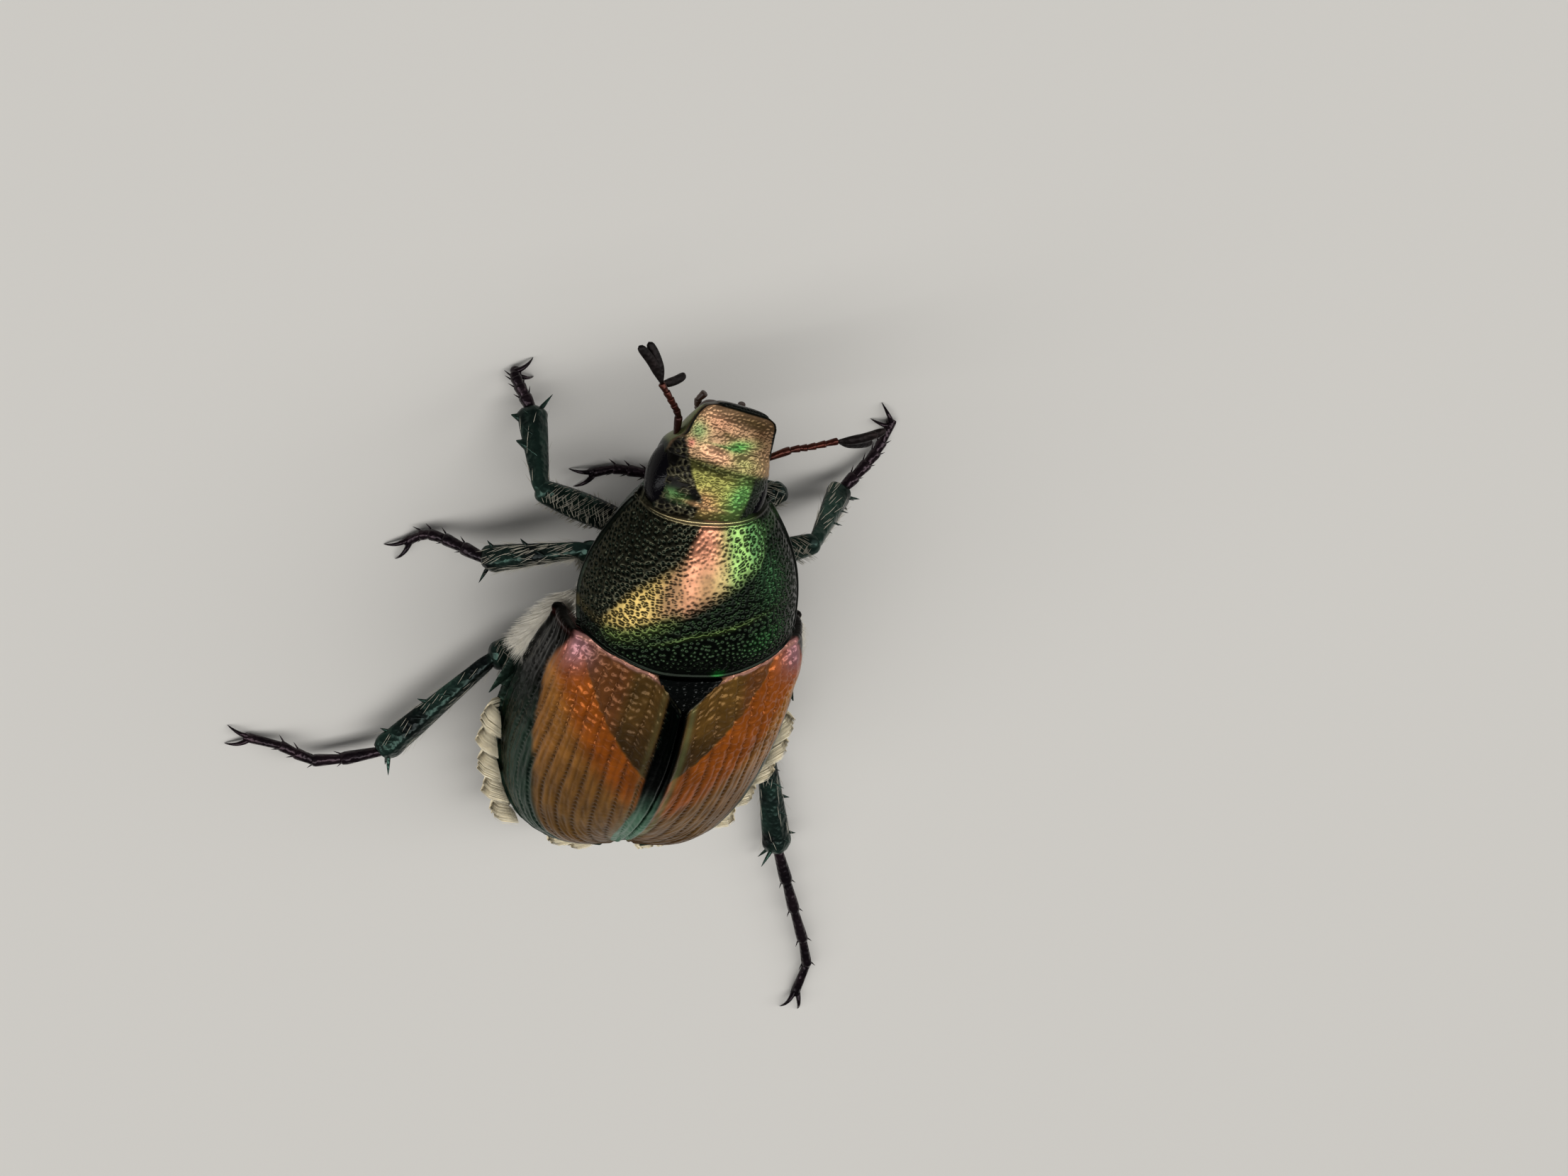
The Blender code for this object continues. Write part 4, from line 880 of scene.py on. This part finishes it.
# Thin cuticle of the stalks: red-brown and glossy. The leaves carry fine sense hairs, so they are dull.
stalk_skin = dark_cuticle("feeler cuticle, red-brown", "#2A100A", "#4E2012", 0.3)
leaf_skin = dark_cuticle("feeler leaf cuticle, dull", "#0E0908", "#1E1210", 0.5)
for side, points in STALKS.items():
    knots = spline([0, 1, 2, 3], from_head(points), 3 * np.array(STALK_JOINTS))
    stalk = [bead(knots[0], knots[1], *FIRST_JOINT_RADII)]
    stalk += [bead(a, b, *JOINT_RADII) for a, b in zip(knots[1:-1], knots[2:])]
    make_piece("stalk_" + side, stalk, stalk_skin, ["antenna_" + side])
    leaves = []
    for tip in from_head(LEAF_TIPS[side]):
        t = np.linspace(0, 1, 24)
        root = knots[-1] - 0.04 * unit(tip - knots[-1])
        bow = np.cross(unit(tip - root), (0, 0, 1)) * 0.06
        middle = root + (tip - root) * t[:, None] + bow * np.sin(np.pi * t)[:, None]
        taper = np.sqrt(np.clip(1 - (2 * t - 1)**6, 0.0, 1)) * (0.45 + 0.55 * smooth(0, 0.4, t)) + 0.03
        leaves.append(tube(middle, LEAF_WIDTH * taper, LEAF_DEPTH * taper, (0, 0, 1), 20))
    make_piece("leaves_" + side, leaves, leaf_skin, ["club_" + side])


# Legs: hip, thigh, shin and foot of hard green-black cuticle. Shins are keeled, with teeth outside and
# spurs at the end; feet have five cupped joints, short spines and two curved claws.
HIPS = {"front": [(0.3, -1.0, 1.2), (0.9, -1.0, 1.35)], "middle": [(0.35, 0.45, 0.98), (1.1, 0.45, 1.02)],
        "hind": [(0.35, 2.1, 1.0), (1.2, 2.1, 1.0)]}
LEGS = {
    "front_left": {"knee": (3.0, -1.65, 2.1), "ankle": (3.11, -2.99, 0.75),
                   "toes": [(3.42, -3.5, 0.35), (3.42, -3.62, 0.12)], "claw": (-1.0, -0.15, 0.0)},
    "front_right": {"knee": (-2.39, -1.79, 1.9), "ankle": (-0.58, -1.46, 0.45),
                    "toes": [(0.19, -1.43, 0.33), (0.94, -1.49, 0.25), (1.45, -1.3, 0.1)]},
    "middle_left": {"knee": (1.95, -0.52, 2.55), "ankle": (3.82, 0.37, 1.2),
                    "toes": [(4.85, 0.16, 0.42), (5.35, 0.48, 0.1)]},
    "middle_right": {"knee": (-3.23, -0.71, 2.2), "ankle": (-4.15, -1.33, 0.6),
                     "toes": [(-4.9, -2.1, 0.3), (-5.25, -2.85, 0.1)], "claw": (0.9, -0.45, 0.0)},
    "hind_left": {"knee": (3.31, 2.71, 1.1), "ankle": (5.49, 5.21, 0.8),
                  "toes": [(6.83, 5.57, 0.6), (7.63, 5.3, 0.45), (8.4, 5.26, 0.1)]},
    "hind_right": {"knee": (-3.23, 4.65, 0.68), "ankle": (-4.04, 7.58, 0.5),
                   "toes": [(-4.64, 9.03, 0.38), (-5.25, 10.6, 0.26), (-5.13, 11.5, 0.1)]},
}
HIP_RADIUS = 0.34
THIGH_T = [0.0, 0.12, 0.35, 0.6, 0.85, 1.0]
THIGH_RADIUS = [0.18, 0.25, 0.29, 0.29, 0.25, 0.21]
SHIN_T = [0.0, 0.08, 0.2, 0.5, 0.85, 0.96, 1.0]
SHIN_RADIUS = [0.12, 0.17, 0.19, 0.24, 0.29, 0.29, 0.22]
# Teeth: place along the shin and reach beside it.
SHIN_TEETH = [(0.5, 0.42), (0.82, 0.46)]
TOOTH_RADIUS = {"front": 0.13, "middle": 0.06, "hind": 0.06}
SHIN_SPINES = 6
SHIN_SPINE_RADIUS = 0.03
SPUR_LENGTH = 0.5
SPUR_RADIUS = 0.055
FOOT_JOINTS = 5
FOOT_RADII = (0.07, 0.15)
FOOT_SPINE_RADIUS = 0.022
FOOT_T = [0.0, 0.2, 0.37, 0.53, 0.68, 1.0]
CLAW_LENGTH = 0.42
CLAW_SPREAD = 0.22
CLAW_RADIUS = 0.062
FLOOR_GAP = 0.01


def leg_up(start, end):
    """A direction across a leg segment, close to straight up."""
    along = unit(end - start)
    rough = np.array([0.0, 0.0, 1.0]) if abs(along[2]) < 0.95 else np.array([0.0, 1.0, 0.0])
    return unit(rough - along * rough.dot(along))


def spine(base, tip, radius, bend=(0.0, 0.0, 0.0)):
    """A tapered spine with a blunt root, its middle moved by bend."""
    t = np.array([0.0, 0.12, 0.4, 0.7, 0.92, 1.0])[:, None]
    path = base + (tip - base) * t + np.asarray(bend) * 4 * t * (1 - t)
    radii = radius * np.array([0.8, 1.0, 0.85, 0.55, 0.22, 0.06])
    axis = unit(tip - base)
    return tube(path, radii, radii, (0, 0, 1) if abs(axis[2]) < 0.9 else (0, 1, 0), 8)


def above_floor(rings):
    """Points below the floor's gap raised to it, as the flat that a foot rests on."""
    rings = rings.copy()
    rings[..., 2] = np.maximum(rings[..., 2], FLOOR_GAP)
    return rings


# Hard cuticle of the legs: a green metal gloss with bright lines along the keels. The feet are browner
# and shine more, the hips are duller.
leg_skin = dark_cuticle("leg cuticle, green metal gloss", "#0B1211", "#2A443A", 0.3)
foot_skin = dark_cuticle("foot cuticle, purple-brown", "#140D12", "#2C1E24", 0.26)
hip_skin = dark_cuticle("hip cuticle", "#0D1A14", "#22362A", 0.36)
turn = np.arange(40) / 40 * 2 * np.pi
keel = 1 + 0.1 * bell(np.cos(turn), 1, 0.25) + 0.1 * bell(np.cos(turn), -1, 0.25)
ridges = 1 + 0.12 * bell(turn, np.pi / 2, 0.3) + 0.1 * bell(turn, np.pi, 0.3) + 0.1 * bell(turn, 0, 0.3)
ridges = ridges - 0.06 * bell(turn, 0.8, 0.3) - 0.06 * bell(turn, 2.3, 0.3)
leg_grids = {}
for name, leg in LEGS.items():
    pair, side = name.split("_")
    root, hip = (place(point * SIDES[side]) for point in HIPS[pair])
    knee, ankle, toes = (np.array(leg[key]) for key in ("knee", "ankle", "toes"))
    t = np.linspace(0, 1, 24)
    radius = HIP_RADIUS * np.sin(np.pi * (0.1 + 0.8 * t))**0.6
    socket = tube(root + (hip - root) * t[:, None] * 1.15, radius, radius * 0.9, (0, 0, 1), 32)
    make_piece("hip_" + name, [socket], hip_skin, ["coxa_" + name])

    t = np.linspace(0, 1, 60)
    along = unit(knee - hip)
    path = hip - 0.1 * along + (knee + 0.12 * along - hip + 0.1 * along) * t[:, None]
    end = np.sqrt(np.clip(1 - np.clip((t - 0.93) / 0.07, 0, 1)**2, 0.02, 1))
    radius = spline(THIGH_T, THIGH_RADIUS, t) * end * (1.3 if pair == "hind" else 1.0)
    thigh = tube(path, radius, radius * 0.8, leg_up(hip, knee), len(turn), keel)
    make_piece("thigh_" + name, [thigh], leg_skin, ["femur_" + name])

    shin = unit(ankle - knee)
    up = leg_up(knee, ankle)
    across = np.cross(shin, up)
    radius = spline(SHIN_T, SHIN_RADIUS, t)
    path = knee - 0.05 * shin + (ankle - knee + 0.05 * shin) * t[:, None]
    shin_grid = tube(path, radius, radius * 0.85, up, len(turn), ridges)
    shells = [shin_grid]
    length = np.linalg.norm(ankle - knee)
    outer = across if across.dot(ankle - root) > 0 else -across
    for down, reach in SHIN_TEETH:
        base = knee + shin * length * down
        tip = base + outer * reach + shin * 0.22
        shells.append(spine(base + outer * 0.08, tip, TOOTH_RADIUS[pair], shin * 0.03))
    for k in range(SHIN_SPINES):
        base = knee + shin * length * (0.25 + 0.12 * k)
        lift = up * (0.16 if k % 2 else 0.05)
        tip = base + lift * 1.6 + outer * 0.27 + shin * 0.2
        shells.append(spine(base + lift, tip, SHIN_SPINE_RADIUS))
    away = -across if across.dot(toes[0] - ankle) > 0 else across
    for lift in (-0.6, 0.4):
        spur = unit(away + up * lift)
        tip = ankle + shin * 0.24 + spur * SPUR_LENGTH
        tip[2] = max(tip[2], 0.04)
        shells.append(spine(ankle - shin * 0.12 + spur * 0.1, tip, SPUR_RADIUS))
    make_piece("shin_" + name, [above_floor(shell) for shell in shells], leg_skin,
               ["tibia_" + name])

    knots = np.concatenate([[ankle - 0.02 * shin], toes])
    path = spline(np.arange(len(knots)), knots, np.array(FOOT_T) * (len(knots) - 1))
    shells = []
    for k in range(FOOT_JOINTS):
        step = unit(path[k + 1] - path[k])
        narrow, broad = FOOT_RADII[0], FOOT_RADII[1] - 0.01 * k
        shells.append(bead(path[k] - 0.03 * step, path[k + 1] + 0.03 * step, narrow, broad, 20))
        beside = unit(np.cross(step, (0, 0, 1)))
        for lean in (-1, 1) if k < FOOT_JOINTS - 1 else ():
            base = path[k + 1] - 0.06 * step + beside * lean * 0.07 - np.array([0, 0, 0.05])
            shells.append(spine(base, base + step * 0.2 + beside * lean * 0.13, FOOT_SPINE_RADIUS))
    ahead = unit(path[-1] - path[-2])
    heading = unit(leg["claw"]) if "claw" in leg else unit(ahead * [1, 1, 0])
    spread = np.cross(heading, (0, 0, 1))
    for lean in (-1, 1):
        base = path[-1] - ahead * 0.08 + spread * lean * 0.04
        tip = path[-1] + heading * CLAW_LENGTH + spread * lean * CLAW_SPREAD
        tip[2] = 0.02
        t = np.linspace(0, 1, 14)[:, None]
        curve = base + (tip - base) * t + np.array([0, 0, 0.14]) * 4 * t * (1 - t)
        radii = CLAW_RADIUS * (1 - t[:, 0])**0.7 + 0.006
        shells.append(tube(curve, radii, radii, spread, 12))
    make_piece("foot_" + name, [above_floor(shell) for shell in shells], foot_skin,
               ["tarsus_" + name])
    leg_grids[name] = (thigh, shin_grid)


# White hairs: five brushes of flat cream hairs along each side of the belly and one on each side of
# the end plate, pale fur on the chest and behind the collar, and rows of bristles on the legs.
# Each hair is one flat, tapered bristle that grows out of the cuticle.
TUFT_AT = [(3.34, 3.42), (3.31, 4.02), (3.15, 4.66), (2.88, 5.32), (2.55, 5.96)]
TUFT_TURN = [6.0, 12.0, 20.0, 30.0, 42.0]
TUFT_Z = 2.5
TUFT_WAY = np.array([1.78, -0.12, 0.46])
TUFT_CURL = np.array([-1.73, 0.46, 0.11])
LOCKS_A_TUFT = 4
HAIRS_A_LOCK = 180
LOCK_PITCH = 0.13
BLADE_T = np.array([0.0, 0.25, 0.5, 0.75, 1.0])
BLADE_TAPER = np.array([0.75, 1.0, 1.0, 0.75, 0.2])
TUFT_WIDTH = 0.022
CHEST_WIDTH = 0.012
FINE_WIDTH = 0.011
PATCH = 0.003
CHEST_HAIRS = 5200
COLLAR_HAIRS = 1500
THIGH_HAIRS = 700
SHIN_HAIRS = 220
SHIN_SHARE = {"middle_left": 3.0, "front_left": 0.2}
# Where the fur grows: the rows and columns of the trunk's and the collar's grids.
CHEST_ROWS, CHEST_COLUMNS = (1, 26), (16, 30)
COLLAR_ROWS, COLLAR_COLUMNS = (45, 59), (-10, 1)


def hairs(name, roots, ways, across, lengths, width, droop, spots, material):
    """Blades of four sides from their roots: root + way t length + droop t squared, for t up to one."""
    count = len(roots)
    ways = unit(ways)
    across = unit(across - ways * np.sum(across * ways, -1, keepdims=True))
    thick = np.cross(ways, across)
    t = BLADE_T[None, :, None]
    middle = roots[:, None] + ways[:, None] * t * lengths[:, None, None] + np.asarray(droop) * t * t
    half = 0.5 * BLADE_TAPER[None, :, None] * width
    corners = [middle + half * across[:, None], middle + 0.45 * half * thick[:, None],
               middle - half * across[:, None], middle - 0.45 * half * thick[:, None]]
    points = np.stack(corners, 2).reshape(-1, 3)
    ring, corner = np.meshgrid(np.arange(4), np.arange(4), indexing="ij")
    after = (corner + 1) % 4
    quads = np.stack([ring * 4 + corner, ring * 4 + after, ring * 4 + 4 + after, ring * 4 + 4 + corner], -1)
    quads = np.concatenate([quads.reshape(-1, 4), [[3, 2, 1, 0], [16, 17, 18, 19]]])
    faces = (np.arange(count)[:, None, None] * 20 + quads).reshape(-1, 4)
    mesh = bpy.data.meshes.new(name)
    mesh.from_pydata(((points + BODY_AT) * MM).tolist(), [], faces.tolist())
    mesh.shade_smooth()
    # Each blade has one small patch of the texture, about its own spot.
    local = np.stack([np.tile([0.0, 1.0, 1.0, 0.0], 5), np.repeat(BLADE_T, 4)], -1)
    corner_uv = np.asarray(spots)[:, None] + PATCH * (local - 0.5)
    layer = mesh.uv_layers.new(name="OFBake")
    layer.data.foreach_set("uv", corner_uv.reshape(-1, 2)[faces.ravel()].ravel())
    settle(name, mesh, material)


def on_grid(grid, rows, columns):
    """Points of a ring grid at those cells, with outward normals and the direction along the rings."""
    around = grid.shape[1]
    rows = np.clip(rows, 1, len(grid) - 2)
    along = unit(grid[rows + 1, columns] - grid[rows - 1, columns])
    beside = grid[rows, (columns + 1) % around] - grid[rows, columns - 1]
    normal = unit(np.cross(along, beside))
    outwards = np.sum((grid[rows, columns] - grid[rows].mean(1)) * normal, -1, keepdims=True)
    return grid[rows, columns], normal * np.sign(outwards), along


def hair_skin(name, code):
    """Dry pale hair: matt, with a soft sheen."""
    material, tree, shader = finish(name, 0.65)
    cloud = add(tree, "TexNoise", {"Vector": in_millimetres(tree), "Scale": 5.0, "Detail": 2.0}).outputs[0]
    dim = add(tree, "MapRange", {0: cloud, 1: 0.3, 2: 0.7, 3: 0.82, 4: 1.05}).outputs[0]
    shaded = add(tree, "Mix", {0: 1.0, 6: (*linear(code), 1.0), 7: dim}, data_type="RGBA",
                 blend_type="MULTIPLY")
    tree.links.new(shaded.outputs[2], shader.inputs["Base Color"])
    return material


# Dry hair: the tufts are thick and bright, the fur is greyer and the leg bristles are duller still.
cream = hair_skin("cream hair", "#FFF3D4")
grey = hair_skin("grey-white hair", "#E6E0D2")
dull = hair_skin("grey bristle", "#B5AF9E")
draw = np.random.default_rng(7)


def brush(centre, out, back, size, seed):
    """Locks in a row along back: each hair goes its way outward, and its curl bends it back over."""
    draw = np.random.default_rng(seed)
    count = LOCKS_A_TUFT * HAIRS_A_LOCK
    lock = np.repeat(np.arange(LOCKS_A_TUFT), HAIRS_A_LOCK) - (LOCKS_A_TUFT - 1) / 2
    spread = draw.uniform(-1, 1, count)
    inside = draw.uniform(0.0, 1.0, count)
    aside = lock * LOCK_PITCH + spread * 0.33 * LOCK_PITCH
    up = np.cross(out, back)
    up = up * np.sign(up[2])
    axes = np.stack([out, back, up])
    full = size * (1.06 - 0.18 * (aside / 0.26)**2 - 0.35 * inside - 0.16 * spread**2)
    full = full * draw.uniform(0.96, 1.04, count)
    full = full * draw.uniform(0.9, 1.08, LOCKS_A_TUFT)[(lock + (LOCKS_A_TUFT - 1) / 2).astype(int)]
    roots = centre + size * (np.array([-0.25, -0.12, -0.15]) @ axes) + back * aside[:, None] * size
    roots = roots - up * (0.12 * size * inside * draw.uniform(0.3, 1.0, count))[:, None]
    way = TUFT_WAY @ axes
    curl = (TUFT_CURL @ axes) * full[:, None] - back * (0.45 * size * aside)[:, None]
    ways = unit(way) + draw.normal(0, 0.008, (count, 3))
    spots = np.stack([0.5 + 0.1 * lock / LOCKS_A_TUFT, 0.5 + 0.02 * spread], -1)
    return roots, ways, np.broadcast_to(back, roots.shape), full * np.linalg.norm(way), curl, spots


for name, mirror in SIDES.items():
    side = mirror[0]
    parts = []
    for number, (x, y) in enumerate(TUFT_AT):
        angle = np.radians(TUFT_TURN[number])
        out = unit(place((side * np.cos(angle), np.sin(angle), 0.0)))
        back = unit(place((-side * np.sin(angle), np.cos(angle), 0.0)))
        parts.append(brush(place((side * x, y, TUFT_Z)), out, back, 1.0, 10 * number + side + 1))
        parts[-1][-1][:, 1] += 0.08 * number - 0.2
    for x in (0.75, 1.2):
        out, back = unit(place((0.3 * side * x, 1.0, 0.0))), unit(place((-side, 0.3 * x, 0.0)))
        parts.append(brush(place((side * x, 6.56 - 0.12 * x, 2.95 - 0.1 * x)), out, back, 0.8, 71 + side))
    roots, ways, across, lengths, curl, spots = (np.concatenate(group) for group in zip(*parts))
    hairs("side_tufts_" + name, roots, ways, across, lengths, TUFT_WIDTH, curl[:, None], spots, cream)

    count = CHEST_HAIRS
    rows, columns = draw.integers(*CHEST_ROWS, count), draw.integers(*CHEST_COLUMNS, count)
    columns = columns if side > 0 else breast.shape[1] - columns
    roots, normal, along = on_grid(breast, rows, columns)
    roots = roots + draw.normal(0, 0.03, (count, 3))
    ways = normal * 0.6 + along * 0.8 + draw.normal(0, 0.05, (count, 3)) + [0, 0, 0.1]
    spots = np.stack([columns / breast.shape[1], rows / len(breast)], -1)
    lengths = draw.uniform(0.34, 0.58, count)
    hairs("chest_fur_" + name, roots, ways, along, lengths, CHEST_WIDTH, (0, 0.06, -0.1), spots, grey)

    count = COLLAR_HAIRS
    rows = draw.integers(*COLLAR_ROWS, count)
    columns = draw.integers(*COLLAR_COLUMNS, count) % collar.shape[1]
    roots, normal, along = on_grid(place(collar * mirror), rows, columns)
    roots = roots + draw.normal(0, 0.045, (count, 3)) * [0.5, 1.0, 1.0]
    ways = 0.72 * normal + 0.65 * along + draw.normal(0, 0.1, (count, 3))
    spots = np.stack([columns / collar.shape[1], rows / len(collar)], -1)
    lengths = 0.3 + 0.36 * (rows - COLLAR_ROWS[0]) / (COLLAR_ROWS[1] - COLLAR_ROWS[0])
    lengths = lengths * draw.uniform(0.7, 1.1, count)
    hairs("collar_fur_" + name, roots, ways, along, lengths, FINE_WIDTH, (0, 0.06, -0.06), spots, grey)

for name, (thigh, shin_grid) in leg_grids.items():
    parts = []
    shin_count = int(SHIN_HAIRS * SHIN_SHARE.get(name, 1.0))
    for grid, count, slant, share in ((thigh, THIGH_HAIRS, 0.9, 0.4), (shin_grid, shin_count, 0.4, 0.1)):
        rows, columns = draw.integers(6, 54, count), draw.integers(0, grid.shape[1], count)
        roots, normal, along = on_grid(grid, rows, columns)
        beside = np.cross(normal, along)
        fringe = np.abs(np.cos(columns / grid.shape[1] * 2 * np.pi))**3
        keep = (normal[:, 2] > -0.5) & (draw.random(count) < share + 0.6 * fringe)
        ways = along * 0.8 + normal * 0.22 + beside * slant * np.sign(beside[:, 2:]) * 0.9
        ways = ways + draw.normal(0, 0.06, (count, 3))
        spots = np.stack([columns / grid.shape[1], rows / len(grid)], -1)
        lengths = draw.uniform(0.22, 0.34, count)
        parts.append([a[keep] for a in (roots, ways, beside, lengths, spots)])
    roots, ways, across, lengths, spots = (np.concatenate(group) for group in zip(*parts))
    hairs("leg_hairs_" + name, roots, ways, across, lengths, FINE_WIDTH, (0, 0, -0.03), spots, dull)


# Floor and light: a pale matt board as a table top, and one long soft light of six panels that arches
# over the model from side to side. The room gives only a faint light of its own.
FLOOR_HALF = 3.0
LAMP_AT = 0.3
LAMP_SIZE = (0.125, 0.1)
LAMP_POWERS = {30.0: 0.14, 54.0: 0.2, 78.0: 0.2, 102.0: 0.2, 126.0: 0.2, 150.0: 0.14}
ARCH_TURN = np.radians(14.0)
SKY = (0.8, 0.82, 0.85, 1.0)
SKY_STRENGTH = 0.14

table = bpy.data.meshes.new("floor")
table.from_pydata([(x * FLOOR_HALF, y * FLOOR_HALF, 0) for x, y in ((-1, -1), (1, -1), (1, 1), (-1, 1))], [],
                  [(0, 1, 2, 3)])
# Uncoated board: matt, so that it takes soft shadows and reflects nothing.
table.materials.append(finish("pale matt board", 0.9, code="#C9C6C0")[0])
put("floor", table)

along = Vector((np.cos(ARCH_TURN), np.sin(ARCH_TURN), 0.0))
across = Vector((-np.sin(ARCH_TURN), np.cos(ARCH_TURN), 0.0))
for number, (elevation, power) in enumerate(LAMP_POWERS.items()):
    lamp = bpy.data.lights.new("soft_light_" + str(number), "AREA")
    lamp.shape = "RECTANGLE"
    lamp.size, lamp.size_y = LAMP_SIZE
    lamp.energy = power
    light = put(lamp.name, lamp)
    angle = float(np.radians(elevation))
    facing = (along * float(np.cos(angle)) + Vector((0.0, 0.0, float(np.sin(angle))))).normalized()
    axes = Matrix((across.cross(facing), across, facing)).transposed()
    light.matrix_world = Matrix.Translation(facing * LAMP_AT) @ axes.to_4x4()

bpy.context.scene.view_settings.view_transform = "Standard"
world = bpy.data.worlds.new("studio")
world.use_nodes = True
sky = world.node_tree.nodes["Background"]
sky.inputs["Color"].default_value = SKY
sky.inputs["Strength"].default_value = SKY_STRENGTH
bpy.context.scene.world = world


# Camera: at the photo's angle and distance from the model, turned about its own place so that the
# model fills the frame. The focal length, the photo's width and middle and the aim are in its pixels.
EYE_POINT = Vector((24.535, -40.708, 92.388)) * MM
BACK = Vector((0.26235259, -0.38519946, 0.88475561))
RIGHT = Vector((-0.96449445, -0.13351895, 0.22786653))
FOCAL = 6585.0
PHOTO_WIDTH = 2212.0
SENSOR_WIDTH = 36.0
CENTRE = (1106.0, 829.5)
AIM = (960.09, 895.81)

lens = bpy.data.cameras.new("camera")
lens.sensor_width = SENSOR_WIDTH
lens.lens = FOCAL * SENSOR_WIDTH / PHOTO_WIDTH
lens.clip_start = 0.001
camera = put("camera", lens)
axes = Matrix((RIGHT, BACK.cross(RIGHT), BACK)).transposed()
seen = Vector(((AIM[0] - CENTRE[0]) / FOCAL, (CENTRE[1] - AIM[1]) / FOCAL, -1.0))
turned = axes @ seen.rotation_difference(Vector((0.0, 0.0, -1.0))).to_matrix()
camera.matrix_world = Matrix.Translation(EYE_POINT) @ turned.to_4x4()
bpy.context.scene.camera = camera
